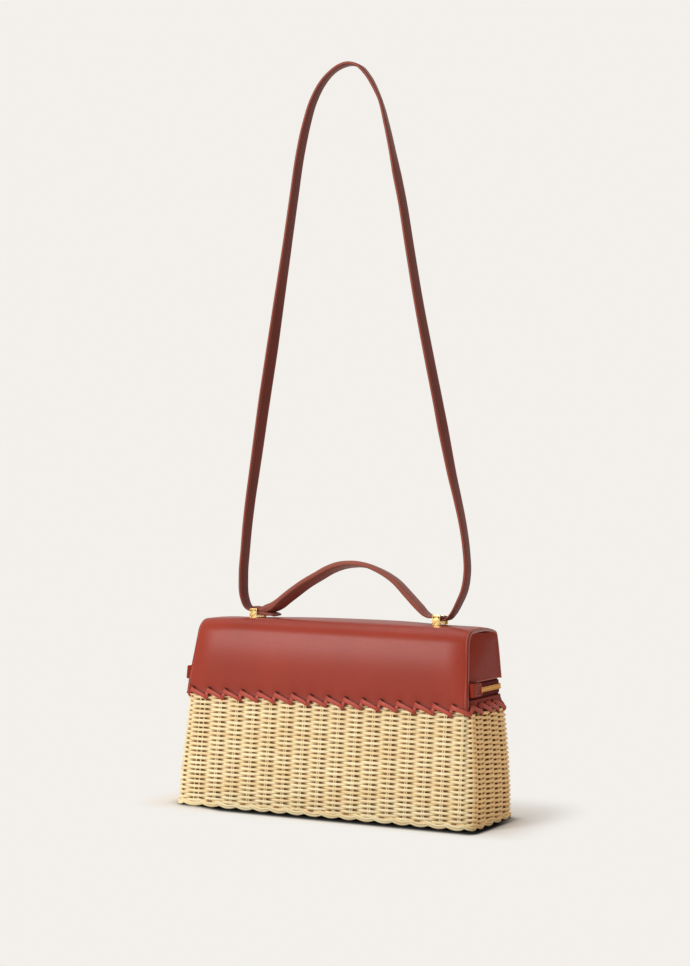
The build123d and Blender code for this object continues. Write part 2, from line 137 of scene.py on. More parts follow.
def fill_mesh(name, points, face_sets, uv_sets=None, marks=None):
    """Object from whole arrays: points in millimetres, sets of faces of equal width, a UV place for each corner
    and marks as one number for each point. The volume enclosed is the sum over the faces of a third of each
    face's area vector times its middle; where that is negative, every face is turned round."""
    volume = 0.0
    for faces in face_sets:
        corners = points[faces]
        area = np.cross(corners, np.roll(corners, -1, 1)).sum(1) / 2
        volume += (area * corners.mean(1)).sum() / 3
    if volume < 0:
        face_sets = [faces[:, ::-1] for faces in face_sets]
        uv_sets = uv_sets and [uv[:, ::-1] for uv in uv_sets]
    loops = np.concatenate([faces.ravel() for faces in face_sets])
    widths = np.concatenate([np.full(len(faces), faces.shape[1]) for faces in face_sets])
    mesh = bpy.data.meshes.new(name)
    mesh.vertices.add(len(points))
    mesh.vertices.foreach_set("co", (points * MM).astype(np.float32).ravel())
    mesh.loops.add(len(loops))
    mesh.loops.foreach_set("vertex_index", loops.astype(np.int32))
    mesh.polygons.add(len(widths))
    mesh.polygons.foreach_set("loop_start", (np.cumsum(widths) - widths).astype(np.int32))
    mesh.polygons.foreach_set("use_smooth", np.full(len(widths), True))
    if uv_sets:
        places = np.concatenate([uv.ravel() for uv in uv_sets]).astype(np.float32)
        mesh.uv_layers.new(name="UVMap").data.foreach_set("uv", places)
    for mark, values in (marks or {}).items():
        attribute = mesh.attributes.new(mark, "FLOAT", "POINT")
        attribute.data.foreach_set("value", np.ravel(values).astype(np.float32))
    mesh.update(calc_edges=True)
    return put_in_scene(name, mesh)


def finish_piece(thing, key, replaced=(), body="bag"):
    """Gives a piece its finish and its body, and hides the solids that it stands for."""
    thing.data.materials.clear()
    thing.data.materials.append(finish_of(key))
    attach(thing, body)
    if replaced:
        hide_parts(*replaced)
    return thing


def oval(sides, power=1.0):
    """Section of a rod as cosine and sine of equal angles; a power under 1 squares it off."""
    angle = np.arange(sides) / sides * TURN
    c, s = np.cos(angle), np.sin(angle)
    return np.stack([np.sign(c) * np.abs(c) ** power, np.sign(s) * np.abs(s) ** power], -1)


def gone_along(lines):
    """Length gone at each point of closed lines, and in all when the first point is met again."""
    gone = np.cumsum(np.linalg.norm(np.diff(lines, axis=1, append=lines[:, :1]), axis=-1), axis=1)
    return np.concatenate([np.zeros((len(lines), 1)), gone], 1)


def tubes(name, lines, facing, deep, wide, section, closed=False, marks=None):
    """Many tubes at once, one for each line of points. The section's first number times deep is laid along the
    facing direction and its second number times wide across it, both at right angles to the line. The UV map
    is the length gone along the line and round the section, both in centimetres."""
    count, steps, sides = *lines.shape[:2], len(section)
    run = unit(np.roll(lines, -1, 1) - np.roll(lines, 1, 1) if closed else np.gradient(lines, axis=1))
    out = unit(facing - (facing * run).sum(-1, keepdims=True) * run)
    across = np.cross(run, out)
    deep, wide = (np.broadcast_to(size, (count, steps))[..., None, None] for size in (deep, wide))
    skin = lines[:, :, None] + out[:, :, None] * deep * section[:, :1]
    skin = skin + across[:, :, None] * wide * section[:, 1:]
    faces, at, around = grid_faces(steps, sides, closed, True)
    first = np.arange(count)[:, None, None] * steps * sides
    gone, round_it = gone_along(lines), gone_along(skin[:, steps // 2])
    uv = [np.stack([gone[:, at], round_it[:, around]], -1).reshape(-1, 4, 2) / 10]
    face_sets = [(faces + first).reshape(-1, 4)]
    if not closed:
        ends = np.arange(sides)[::-1] + np.array([0, (steps - 1) * sides])[:, None]
        ends[1] = ends[1, ::-1]
        face_sets.append((ends + first).reshape(-1, sides))
        uv.append(np.zeros((count * 2, sides, 2)))
    return fill_mesh(name, skin.reshape(-1, 3), face_sets, uv, marks and {
        mark: np.broadcast_to(values[..., None], (count, steps, sides)) for mark, values in marks.items()
    })


def slab(name, face, normals, thickness, edge, edge_round, uv):
    """Sheet with its outer face on the given grid. At distance d from its border the thickness is t times the
    square root of 1 - (1 - d / r) squared, up to the rounding r, so both faces meet in a round edge."""
    rows, cols = face.shape[:2]
    share = 1 - np.clip(edge / edge_round, 0, 1)
    half = thickness / 2 * np.sqrt(np.maximum(1 - share**2, 0))
    middle = face - normals * thickness / 2
    outer = middle + normals * half[..., None]
    inner = middle - normals * half[..., None]
    index = np.arange(rows * cols).reshape(rows, cols)
    back = index.copy()
    back[1:-1, 1:-1] = rows * cols + np.arange((rows - 2) * (cols - 2)).reshape(rows - 2, cols - 2)
    faces, at_row, at_col = grid_faces(rows, cols)
    places = uv[at_row, at_col] / 10
    points = np.concatenate([outer.reshape(-1, 3), inner[1:-1, 1:-1].reshape(-1, 3)])
    marks = {"edge": np.concatenate([edge.ravel(), edge[1:-1, 1:-1].ravel()])}
    face_sets = [faces, back[at_row, at_col][:, ::-1]]
    return fill_mesh(name, points, face_sets, [places, places[:, ::-1]], marks)


def bspline(control, per_span):
    """Smooth lines drawn by control points: uniform cubic B-spline, whose point at share t of a span is the sum
    of four neighbours weighted by (1-t)^3/6, (3t^3-6t^2+4)/6, (-3t^3+3t^2+3t+1)/6 and t^3/6."""
    before, after = 2 * control[:, :1] - control[:, 1:2], 2 * control[:, -1:] - control[:, -2:-1]
    padded = np.concatenate([before, control, after], 1)
    t = np.arange(per_span) / per_span
    weights = (1 - t) ** 3, 3 * t**3 - 6 * t**2 + 4, -3 * t**3 + 3 * t**2 + 3 * t + 1, t**3
    weights = np.stack(weights, -1) / 6
    spans = np.stack([padded[:, k : padded.shape[1] - 3 + k] for k in range(4)], 2)
    line = np.einsum("tw,nswx->nstx", weights, spans).reshape(len(control), -1, 3)
    return np.concatenate([line, control[:, -1:]], 1)


def through(points, step):
    """Smooth line through given points, at equal steps of its length: between neighbours it is the cubic whose
    slope at each point is that of the line joining the points on either side."""
    points = np.asarray(points, float)
    knots = np.concatenate([[0], np.cumsum(np.linalg.norm(np.diff(points, axis=0), axis=1))])
    slope = np.gradient(points, knots, axis=0)
    s = np.linspace(0, knots[-1], int(knots[-1] / step) * 8 + 2)
    k = np.clip(np.searchsorted(knots, s, "right") - 1, 0, len(knots) - 2)
    width = knots[k + 1] - knots[k]
    t = ((s - knots[k]) / width)[:, None]
    width = width[:, None]
    line = (
        (2 * t**3 - 3 * t**2 + 1) * points[k] + (t**3 - 2 * t**2 + t) * width * slope[k]
        + (3 * t**2 - 2 * t**3) * points[k + 1] + (t**3 - t**2) * width * slope[k + 1]
    )
    gone = np.concatenate([[0], np.cumsum(np.linalg.norm(np.diff(line, axis=0), axis=1))])
    even = np.linspace(0, gone[-1], max(int(gone[-1] / step), 2) + 1)
    return np.stack([np.interp(even, gone, line[:, axis]) for axis in range(line.shape[1])], -1), even


def softened_copy(node, name, width, segments=2):
    """Copy of a hard solid with its triangles merged and its sharp edges rounded over by a bevel."""
    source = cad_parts[node]
    mesh = source.data.copy()
    mesh.name = name
    work = bmesh.new()
    work.from_mesh(mesh)
    bmesh.ops.remove_doubles(work, verts=work.verts, dist=1e-6)
    bmesh.ops.dissolve_limit(work, angle_limit=radians(0.5), verts=work.verts, edges=work.edges)
    for polygon in work.faces:
        polygon.smooth = True
    work.to_mesh(mesh)
    work.free()
    for layer in list(mesh.uv_layers):
        mesh.uv_layers.remove(layer)
    thing = put_in_scene(name, mesh)
    bevel = thing.modifiers.new("Rounding", "BEVEL")
    bevel.width = width * MM
    bevel.segments = segments
    bevel.limit_method = "ANGLE"
    bevel.angle_limit = radians(30)
    bevel.harden_normals = True
    return thing


# Making materials


class Value:
    """Number in a node tree under way; arithmetic with it adds maths nodes."""

    def __init__(self, nodes, socket):
        self.nodes, self.socket = nodes, socket

    def __add__(self, other):
        return self.nodes.maths("ADD", self, other)

    def __sub__(self, other):
        return self.nodes.maths("SUBTRACT", self, other)

    def __rsub__(self, other):
        return self.nodes.maths("SUBTRACT", other, self)

    def __mul__(self, other):
        return self.nodes.maths("MULTIPLY", self, other)

    def __truediv__(self, other):
        return self.nodes.maths("DIVIDE", self, other)

    def __pow__(self, power):
        return self.nodes.maths("POWER", self, power)

    def __abs__(self):
        return self.nodes.maths("ABSOLUTE", self)


class Nodes:
    """A node tree under way: adds nodes and joins them."""

    def __init__(self, owner):
        owner.use_nodes = True
        self.tree = owner.node_tree
        self.tree.nodes.clear()

    def add(self, kind, inputs, **settings):
        node = self.tree.nodes.new(kind)
        for key, value in settings.items():
            setattr(node, key, value)
        for key, value in inputs.items():
            value = getattr(value, "socket", value)
            if isinstance(value, bpy.types.NodeSocket):
                self.tree.links.new(value, node.inputs[key])
            else:
                node.inputs[key].default_value = value
        return node

    def value(self, output, kind, inputs, **settings):
        return Value(self, self.add(kind, inputs, **settings).outputs[output])

    def maths(self, operation, *numbers):
        return self.value(0, "ShaderNodeMath", dict(enumerate(numbers)), operation=operation)

    def most(self, first, second):
        return self.maths("MAXIMUM", first, second)

    def length(self, first, second):
        return self.maths("SQRT", first**2.0 + second**2.0)

    def camera_sees(self):
        """1 for what the camera sees straight, mirrored or through glass, and 0 for light thrown on things."""
        path = self.add("ShaderNodeLightPath", {}).outputs
        return self.most(self.most(path["Is Camera Ray"], path["Is Glossy Ray"]), path["Is Transmission Ray"])


class Finish(Nodes):
    """A material under way."""

    def __init__(self, name):
        self.material = bpy.data.materials.new(name)
        super().__init__(self.material)
        self.place = self.add("ShaderNodeTexCoord", {}).outputs

    def mark(self, name):
        return self.value("Fac", "ShaderNodeAttribute", {}, attribute_name=name)

    def stretched(self, kind, scale):
        return self.add("ShaderNodeMapping", {"Vector": self.place[kind], "Scale": scale}).outputs["Vector"]

    def noise(self, vector, scale, detail=2.0, roughness=0.5):
        inputs = {"Vector": vector, "Scale": scale, "Detail": detail, "Roughness": roughness}
        return self.value("Fac", "ShaderNodeTexNoise", inputs)

    def crevice(self, distance, samples):
        """1 in the open and less where other surfaces lie within the distance."""
        return self.value("AO", "ShaderNodeAmbientOcclusion", {"Distance": distance}, samples=samples)

    def between(self, value, low, high, start=0.0, end=1.0, easing="SMOOTHSTEP"):
        """Goes from start to end while the value goes from low to high."""
        inputs = {"Value": value, "From Min": low, "From Max": high, "To Min": start, "To Max": end}
        return self.value("Result", "ShaderNodeMapRange", inputs, interpolation_type=easing)

    def fading(self, value, low, high):
        """Goes from 1 to 0 while the value goes from low to high."""
        return self.between(value, low, high, 1.0, 0.0)

    def blend(self, share, first, second):
        first, second = (v if isinstance(v, bpy.types.NodeSocket) else (*v, 1.0) for v in (first, second))
        return self.add("ShaderNodeMix", {0: share, 6: first, 7: second}, data_type="RGBA").outputs[2]

    def split(self, vector):
        outputs = self.add("ShaderNodeSeparateXYZ", {"Vector": vector}).outputs
        return [Value(self, socket) for socket in outputs]

    def bump(self, height, distance, strength=1.0, under=None):
        inputs = {"Height": height, "Distance": distance, "Strength": strength}
        if under:
            inputs["Normal"] = under
        return self.add("ShaderNodeBump", inputs).outputs["Normal"]

    def done(self, **inputs):
        sockets = {key.replace("_", " "): value for key, value in inputs.items()}
        shader = self.add("ShaderNodeBsdfPrincipled", sockets)
        self.tree.nodes.active = self.add("ShaderNodeOutputMaterial", {"Surface": shader.outputs[0]})
        return self.material


def scaled(colour, share):
    """Colour made darker or lighter by a share."""
    return tuple(c * share for c in colour)


# Finishes


def willow_finish(name, look):
    """Peeled willow: straw with fibres along each rod; painted shade where a rod runs behind or lies low,
    and a painted warm shade on the ends.
    """
    f = Finish(name)
    fibres = f.noise(f.stretched("UV", (1.2, 14.0, 1.0)), 2.0, 3.0, 0.6)
    blotches = f.noise(f.stretched("UV", (0.5, 0.7, 1.0)), 1.6, 3.0, 0.6)
    colour = f.blend(f.between(fibres, 0.32, 0.68), look.straw, look.straw_pale)
    colour = f.blend(f.between(f.mark("tone"), 0.1, 0.95, 0.0, 0.5), colour, look.straw_warm)
    colour = f.blend(f.between(blotches, 0.55, 0.78, 0.0, 0.4), colour, look.straw_warm)
    # Painted shade: the ends take a warmer straw that stands in for the light falling aslant on them
    colour = f.blend(f.mark("end") * 0.9, colour, look.straw_end_warm_shade)
    # Painted shade: rods that run behind the stakes or lie low in the wall are darkened towards the shade
    # colour
    colour = f.blend(f.fading(f.mark("depth"), -1.0, 0.2) * look.hole_shade_strength, colour, look.straw_shadow)
    return f.done(
        Base_Color=colour, Roughness=0.5, Normal=f.bump(fibres, 0.00005, 0.5), Specular_IOR_Level=0.25
    )


def painted_hole_shade(f, along, height, first, pitch, holes):
    """Share of painted shade in the lace holes: tilted ellipses at the given places after each lace's start,
    the lace starts being a pitch apart. With u and v the lengths along and across an ellipse's own axes, over
    its two half sizes, the dark falls from 1 to 0 as u squared plus v squared goes through 1."""
    dark = 0.0
    for offset, level, long, tall, tilt in holes:
        after = f.maths("WRAP", along - (first + offset) * MM, pitch / 2 * MM, -pitch / 2 * MM)
        place = f.add("ShaderNodeCombineXYZ", {"X": after, "Y": height - level * MM}).outputs[0]
        turning = {"Vector": place, "Angle": radians(tilt)}
        turned = f.add("ShaderNodeVectorRotate", turning, rotation_type="Z_AXIS").outputs[0]
        u, v, _ = f.split(turned)
        far = (u / (long * MM)) ** 2.0 + (v / (tall * MM)) ** 2.0
        dark = f.most(dark, f.fading(far, 0.6, 1.3))
    return dark


def painted_hole_shade_sides(f, place, sides):
    """Share of painted shade in the lace holes of both long sides, or of both ends. The length is taken the way
    that each side goes round the bag. On the ends the first lace stands apart from the even row of the others,
    so its holes are drawn by themselves, at a pitch longer than the side."""
    x, y, height = f.split(place)
    if sides == "long":
        along = x * (f.maths("SIGN", y) * -1.0)
        return painted_hole_shade(f, along, height, LACE_FIRST, LACE_PITCH, LACE_HOLES)
    along = y * f.maths("SIGN", x)
    row = painted_hole_shade(f, along, height, END_LACES[1], END_LACE_PITCH, END_LACE_HOLES)
    first = painted_hole_shade(f, along, height, END_LACES[0], LONE_PITCH, END_LACE_HOLES)
    return f.most(row * f.between(along, *END_ROW_START), first)


def calf_finish(name, colour, look, roughness=0.4, coat=0.0, specular=0.02, edged=False, rim=None, holes=None):
    """Smooth calf: fine grain, slow changes of tone and painted shade, a deeper red, in its creases. An edged
    sheet has a cut edge, partly edge paint and partly painted highlight, and a dark line inside it, a rim is a
    painted line between two heights, and holes names the sides whose lace holes it darkens with painted shade."""
    f = Finish(name)
    place = f.place["Object"]
    slow = f.noise(place, 14.0, 3.0)
    fine = f.noise(place, 420.0, 3.0, 0.6)
    pores = f.value("Distance", "ShaderNodeTexVoronoi", {"Vector": place, "Scale": 1500.0})
    shade = f.blend(f.between(slow, 0.3, 0.7), scaled(colour, 0.93), scaled(colour, 1.07))
    shade = f.blend(f.between(fine, 0.35, 0.7, 0.0, 0.16), shade, scaled(colour, 0.72))
    if edged:
        inward = f.mark("edge")
        shade = f.blend(f.fading(inward, 0.7, 0.9), shade, look.shade_and_edge_line_red)
        # The cut edge's paler colour is partly edge paint and partly a painted highlight on its round
        shade = f.blend(f.fading(inward, 0.2, 0.5), shade, look.cut_edge_paint_and_highlight)
    if rim:
        height = f.split(place)[2]
        line = f.between(height, rim[0], rim[0] + RIM_BLUR) * f.fading(height, rim[1] - RIM_BLUR, rim[1])
        shade = f.blend(line, shade, look.edge_paint)
    # Painted shade: deeper red where other surfaces lie within 3 mm, in creases and corners
    shade = f.blend(f.between(f.crevice(0.003, 6), 0.3, 0.85, 0.75, 0.0), shade, look.shade_and_edge_line_red)
    # Painted shade: the lace holes are darkened
    if holes:
        shade = f.blend(painted_hole_shade_sides(f, place, holes) * 0.9, shade, look.shade_and_edge_line_red)
    return f.done(
        Base_Color=shade, Roughness=f.between(fine, 0.3, 0.7, roughness - 0.03, roughness + 0.05),
        Normal=f.bump(pores * 0.6 + fine, 0.00006, 0.35), Specular_IOR_Level=specular, Coat_Weight=coat,
        Coat_Roughness=0.36,
    )


def strap_finish(name, colour, look, section):
    """Strap leather: round edges, partly edge paint and partly painted highlight, and a sewn groove inside each
    darkened with painted shade, all by the distance round the band.
    """
    f = Finish(name)
    place = f.place["Object"]
    gone, round_it, _ = f.split(f.place["UV"])
    half = half_round(section)
    round_it = f.maths("MODULO", round_it * 10.0, half)
    inside = f.maths("MINIMUM", round_it, half - round_it)
    slow = f.noise(place, 20.0, 3.0)
    fine = f.noise(place, 500.0, 3.0, 0.6)
    groove = f.fading(abs(inside - SEAM_INSET), 0.15, 0.42)
    dash = f.between(f.maths("PINGPONG", gone * 10.0, 1.3), 0.15, 0.4)
    shade = f.blend(f.between(slow, 0.3, 0.7), scaled(colour, 0.9), scaled(colour, 1.1))
    # Painted shade: the sewn groove is darkened
    shade = f.blend(groove * 0.75, shade, scaled(colour, 0.45))
    shade = f.blend(groove * dash * 0.8, shade, look.thread)
    # The round edges' paler colour is partly edge paint and partly a painted highlight
    shade = f.blend(f.fading(inside, 0.5, 1.0), shade, look.strap_edge_paint_and_highlight)
    return f.done(
        Base_Color=shade, Roughness=f.between(inside, 0.75, 1.25, 0.3, 0.42),
        Normal=f.bump(1.0 - groove, 0.00025, 0.8, f.bump(fine, 0.00006, 0.35)), Specular_IOR_Level=0.03,
        Coat_Weight=0.1, Coat_Roughness=0.3,
    )


def gold_finish(name, colour):
    """Polished gold with a very fine brushed grain."""
    f = Finish(name)
    brushed = f.noise(f.stretched("Object", (900.0, 900.0, 90.0)), 1.0)
    slow = f.noise(f.place["Object"], 90.0)
    shade = f.blend(f.between(slow, 0.35, 0.65), colour, scaled(colour, 0.95))
    gloss = f.between(brushed, 0.3, 0.7, 0.26, 0.32)
    return f.done(Base_Color=shade, Metallic=1.0, Roughness=gloss, Normal=f.bump(brushed, 0.000002, 0.2))


def cloth_finish(name, colour, threads, roughness=0.85):
    """Plain woven cloth: two crossing sets of ribs, with a little shade from thread to thread."""
    f = Finish(name)
    x, y, z = f.split(f.place["Object"])
    ribs = f.maths("SINE", z * (TURN * threads)) * f.maths("SINE", (x + y) * (TURN * threads))
    slow = f.noise(f.place["Object"], 120.0, 3.0)
    shade = f.blend(f.between(ribs + slow, -0.4, 1.4), scaled(colour, 0.7), colour)
    return f.done(
        Base_Color=shade, Roughness=roughness, Normal=f.bump(ribs, 0.00012, 0.5), Specular_IOR_Level=0.1
    )


def board_finish(name, colour):
    """Raw fibre board: short flecks over an even brown."""
    f = Finish(name)
    flecks = f.noise(f.stretched("Object", (260.0, 700.0, 260.0)), 1.0, 4.0, 0.7)
    shade = f.blend(f.between(flecks, 0.35, 0.7), colour, scaled(colour, 0.6))
    return f.done(Base_Color=shade, Roughness=0.8, Normal=f.bump(flecks, 0.0001, 0.5))


def finish_of(key):
    """Finish of that name, made the first time it is asked for. The end panels, the band and the tabs, which
    face the light less, have a dimmer red of painted shade, without the cover's coat."""
    if key in bpy.data.materials:
        return bpy.data.materials[key]
    look = bpy.context.scene.bag_look
    # Painted shade: a darker copy of the cover's calf for the pieces that face the light less
    shaded_calf = scaled(look.calf, 0.86)
    makers = {
        "willow": lambda: willow_finish(key, look),
        "cover_calf": lambda: calf_finish(key, look.calf, look, 0.4, 0.3, 0.06, edged=True, holes="long"),
        "gusset_calf": lambda: calf_finish(key, shaded_calf, look, rim=(0.1188, 0.1203)),
        "band_calf": lambda: calf_finish(key, shaded_calf, look, rim=(0.1058, 0.107), holes="ends"),
        "tab_calf": lambda: calf_finish(key, shaded_calf, look),
        "lace_calf": lambda: calf_finish(key, look.lace_calf, look, 0.36, 0.2, 0.06),
        "strap_calf": lambda: strap_finish(key, look.strap_calf, look, STRAP_SECTION),
        "handle_calf": lambda: strap_finish(key, look.handle, look, HANDLE_SECTION),
        "thread": lambda: cloth_finish(key, look.thread, 2500.0, 0.6),
        "gold": lambda: gold_finish(key, look.gold),
        "tooth_gold": lambda: gold_finish(key, look.tooth_gold),
        "zip_cloth": lambda: cloth_finish(key, look.zip_cloth, 1300.0),
        "lining_cloth": lambda: cloth_finish(key, look.lining, 900.0),
        "board": lambda: board_finish(key, look.board),
    }
    return makers[key]()


def half_round(section):
    """Half the length round a section, in millimetres."""
    return float(np.linalg.norm(np.roll(section, -1, 0) - section, axis=1).sum() / 2)


def band_section(width, thickness):
    """Section of a sewn band, in millimetres: round painted edges, a groove inside each and a low crown."""
    w, t = width / 2, thickness / 2
    side = np.array([
        (0.0, w), (0.3 * t, w - 0.06), (0.62 * t, w - 0.28), (0.86 * t, w - 0.62), (0.98 * t, w - 1.05),
        (1.0 * t, w - 1.6), (0.97 * t, w - 2.0), (0.88 * t, w - SEAM_INSET), (0.97 * t, w - 2.6),
        (1.02 * t, w - 3.1), (1.08 * t, w - 4.6), (1.1 * t, w * 0.2),
    ])
    top = np.concatenate([side, (side * (1, -1))[::-1]])
    return np.concatenate([top, -top[1:-1]])


STRAP_SECTION = band_section(15.8, 2.6)
HANDLE_SECTION = band_section(15.8, 4.0)


# Basket


def round_outline(s, length, depth, corner):
    """Point and outward direction on a rounded rectangle, s being the length gone round from the middle of the
    front to the right. The second half is the first turned by half a turn. The direction is -90 degrees plus
    the arc gone in each corner, and the point is the corner's centre, slid along the straight runs, plus the
    corner's radius in that direction."""
    a, b, quarter = length / 2 - corner, depth / 2 - corner, corner * pi / 2
    half = 2 * (a + b + quarter)
    turns = np.floor(s / half)
    t = s - turns * half
    angle = (np.clip(t - a, 0, quarter) + np.clip(t - a - quarter - 2 * b, 0, quarter)) / corner - pi / 2
    x = np.clip(t, 0, a) - np.clip(t - a - 2 * quarter - 2 * b, 0, a)
    y = np.clip(t - a - quarter, 0, 2 * b) - b
    flip = 1 - 2 * (turns % 2)
    way = np.stack([np.cos(angle), np.sin(angle)], -1) * flip[..., None]
    return np.stack([x, y], -1) * flip[..., None] + way * corner, way


def on_basket(column, z, inset):
    """Point and outward direction at a stake number, counted as a real number round the basket, a height and a
    depth inside the outer face. The stake's place along the outline runs evenly from its foot to its top. The
    wall stands out by a belly that goes as the sine of half a turn times the height's share to the power 0.7,
    most of all at the right end and a little the other way at the left one, and is drawn in at the foot by the
    square of the height still missing to 9 mm. The left end is also drawn in at its foot and top by a line
    drawn through measured depths."""
    column, z, inset = np.broadcast_arrays(column, z, inset)
    share = z / BASKET_HEIGHT
    foot_tuck, foot_height, belly_depth = 1.7, 9, 1.4
    belly = belly_depth * np.sin(pi * np.clip(share, 0, 1) ** 0.7)
    length, depth = (low + (high - low) * share for low, high in zip(BASKET_LOW, BASKET_HIGH))
    half = length + depth - 4 * BASKET_CORNER + pi * BASKET_CORNER
    k = np.mod(column, STAKES / 2)
    numbers = np.arange(STAKES // 2 + 1)
    low, high = np.interp(k, numbers, STAKES_LOW), np.interp(k, numbers, STAKES_HIGH)
    s = low + (high - low) * share + np.floor(column / (STAKES / 2)) * half
    place, way = round_outline(s, length, depth, BASKET_CORNER)
    inset = inset - belly * (0.35 + way[..., 0]) + foot_tuck * np.clip(1 - z / foot_height, 0, 1) ** 2
    levels, depths = (0, 6, 12, 20, 33, 46, 60, 80, 95), (1.6, 1.5, 0.9, -0.3, -0.4, 0.1, 0.7, 1.5, 1.5)
    drawn = np.interp(z, levels, depths)
    inset = inset + drawn * smooth_step(-way[..., 0], 0.2, 0.9)
    point = np.concatenate([place - way * inset[..., None], z[..., None]], -1)
    return point, unit(np.concatenate([way, np.full((*way.shape[:-1], 1), 0.06)], -1))


def end_share(out):
    """Share from 0 on the long sides to 1 on the ends, by the outward direction along X."""
    return smooth_step(np.abs(out[..., 0]), 0.7, 0.97)


def wander(count, places, rate, seed):
    """Smooth wandering numbers from -1 to 1 for each of several lines: the mean of three sines of the place, at
    whole rates near the given one, so that they close on a full turn, and with random starts."""
    rng = np.random.default_rng(seed)
    rates = np.round(rate * rng.uniform(0.6, 1.6, (count, 1, 3)))
    starts = rng.uniform(0, TURN, (count, 1, 3))
    return np.sin(places[..., None] * rates + starts).mean(-1)


def weave_rods(name, points, out, deep, wide, section, tone, depth, closed=False, replaced=()):
    """Rods of willow with the marks that their finish reads: tone, depth in the wall and share of an end."""
    marks = {"tone": tone, "depth": depth, "end": end_share(out)}
    marks = {mark: np.broadcast_to(values, points.shape[:2]) for mark, values in marks.items()}
    rods = tubes(name, points, out, deep, wide, section, closed, marks)
    return finish_piece(rods, "willow", replaced)


def weave_rows(name, first, count, basket, replaced=()):
    """Rows of willow round the basket. Each row swings in and out of the stakes as the cosine of half a turn
    for each stake, and the next row the other way about; a rod is fullest where it lies in front. Rows above
    94 mm are tucked in behind the leather of the ends, so x is held within its length there."""
    rows_at, at = np.meshgrid(np.arange(first, first + count), np.arange(STAKES * 9) / 9, indexing="ij")
    turned = at * (TURN / STAKES)

    def wandering(rate, seed):
        return wander(count, turned, rate, seed + first)

    swing = -np.cos(pi * (at + rows_at))
    pitch = (basket.top - basket.bottom) / (basket.rows - 1)
    z = basket.bottom + pitch * rows_at + 0.16 * wandering(9.0, 3) + 0.1 * wandering(40.0, 7)
    inset = basket.middle - basket.swing * swing + 0.12 * wandering(30.0, 11)
    points, out = on_basket(at, z, inset)
    held = np.clip(points[..., 0], -TUCKED_X, TUCKED_X)
    points[..., 0] = np.where(z > TUCKED_ABOVE, held, points[..., 0])
    thick = basket.rod / 2 * (1 + 0.06 * wandering(14.0, 17))
    tone = 0.5 + 0.5 * wandering(5.0, 23) + 0.25 * wandering(1.0, 29)
    wide = thick * (1.04 + 0.14 * swing)
    weave_rods(name, points, out, thick * 0.94, wide, oval(8), tone, swing, True, replaced)


def set_stakes(name, basket):
    """Two thin upright rods at each stake, side by side, 1 mm in front of the middle of the wall."""
    number, pair = np.meshgrid(np.arange(STAKES), (-1, 1), indexing="ij")
    z = np.linspace(2.0, 94.0, 20)[None]
    column = (number + pair * 0.056).reshape(-1, 1)
    inset = basket.middle - 1.0 + 0.15 * wander(STAKES * 2, z / 20, 1.0, 41)
    points, out = on_basket(column, z, inset)
    tone = np.random.default_rng(43).uniform(0, 0.7, (STAKES * 2, 1))
    thick = basket.stake / 2
    weave_rods(name, points, out, thick, thick, oval(6), tone, 0.3)


def braid_border(name, basket, replaced):
    """Foot border: at each stake two rods come down, swing under the front of the wall and rise to tuck in
    behind the next pair, so that the foot is a row of scallops. The route gives stakes gone, inset, height."""
    route = np.array([
        (-0.16, 3.4, 4.6), (0.04, 2.6, 4.5), (0.3, 1.1, 3.6), (0.58, 0.2, 2.0), (0.86, 0.0, 1.2),
        (1.1, 0.3, 1.5), (1.34, 1.4, 2.8), (1.6, 3.4, 4.4),
    ])
    number, strand = np.meshgrid(np.arange(STAKES), (0, 1), indexing="ij")
    number, strand = number.reshape(-1, 1), strand.reshape(-1, 1)
    rng = np.random.default_rng(47)
    z = route[:, 2] + strand * 1.6 + rng.normal(0, 0.08, number.shape)
    control, _ = on_basket(number + route[:, 0] + strand * 0.03, z, route[:, 1] + 0.25 * strand)
    points = bspline(control, 4)
    share = np.linspace(0, 1, points.shape[1])
    out = on_basket(number + share * (route[-1, 0] - route[0, 0]) + route[0, 0], points[..., 2], 0.0)[1]
    depth = np.sin(pi * share) * 1.6 - 0.7
    tone = rng.uniform(0.2, 1.0, number.shape)
    thick = basket.rod / 2
    weave_rods(name, points, out, thick, thick, oval(8), tone, depth, False, replaced)


# Leather upper


def leather_half(z):
    """Half the length and half the depth of the upper at height z."""
    share = (z - LEATHER_BOTTOM) / (BAG_TOP - LEATHER_BOTTOM)
    return tuple((low + (high - low) * share) / 2 for low, high in zip(LEATHER_LOW, LEATHER_HIGH))


def spread(length, near, step):
    """Places from 0 to length: the given distances in from both ends, and even steps between them."""
    near = np.asarray(near)
    inner = np.linspace(near[-1], length - near[-1], int((length - 2 * near[-1]) / step) + 2)
    return np.concatenate([near[:-1], inner, length - near[:-1][::-1]])


def cover_path(s, radius):
    """Side profile of the cover after a length s from its front edge: up the lean, round a fold, over the top,
    round the second fold and down the back. Gives the point, the outward direction and the total length."""
    low, top = leather_half(LEATHER_BOTTOM)[1], leather_half(BAG_TOP)[1]
    turn = pi / 2 - FRONT_LEAN
    cut = radius * tan(turn / 2)
    up = (BAG_TOP - LEATHER_BOTTOM) / cos(FRONT_LEAN) - cut
    arc, flat = radius * turn, 2 * (top - cut)
    down = (BAG_TOP - ZIP_TOP) / cos(FRONT_LEAN) - cut
    total = up + arc + flat + arc + down
    turned = (np.clip(s - up, 0, arc) + np.clip(s - up - arc - flat, 0, arc)) / radius
    angle = pi - FRONT_LEAN - turned
    way = np.stack([np.cos(angle), np.sin(angle)], -1)
    rise, fall = np.clip(s, 0, up), np.clip(s - up - 2 * arc - flat, 0, None)
    y = -low + rise * sin(FRONT_LEAN) + np.clip(s - up - arc, 0, flat) + fall * sin(FRONT_LEAN)
    z = LEATHER_BOTTOM + (rise - fall) * cos(FRONT_LEAN)
    start = np.array([-cos(FRONT_LEAN), sin(FRONT_LEAN)]) * radius
    return np.stack([y, z], -1) + way * radius - start, way, total


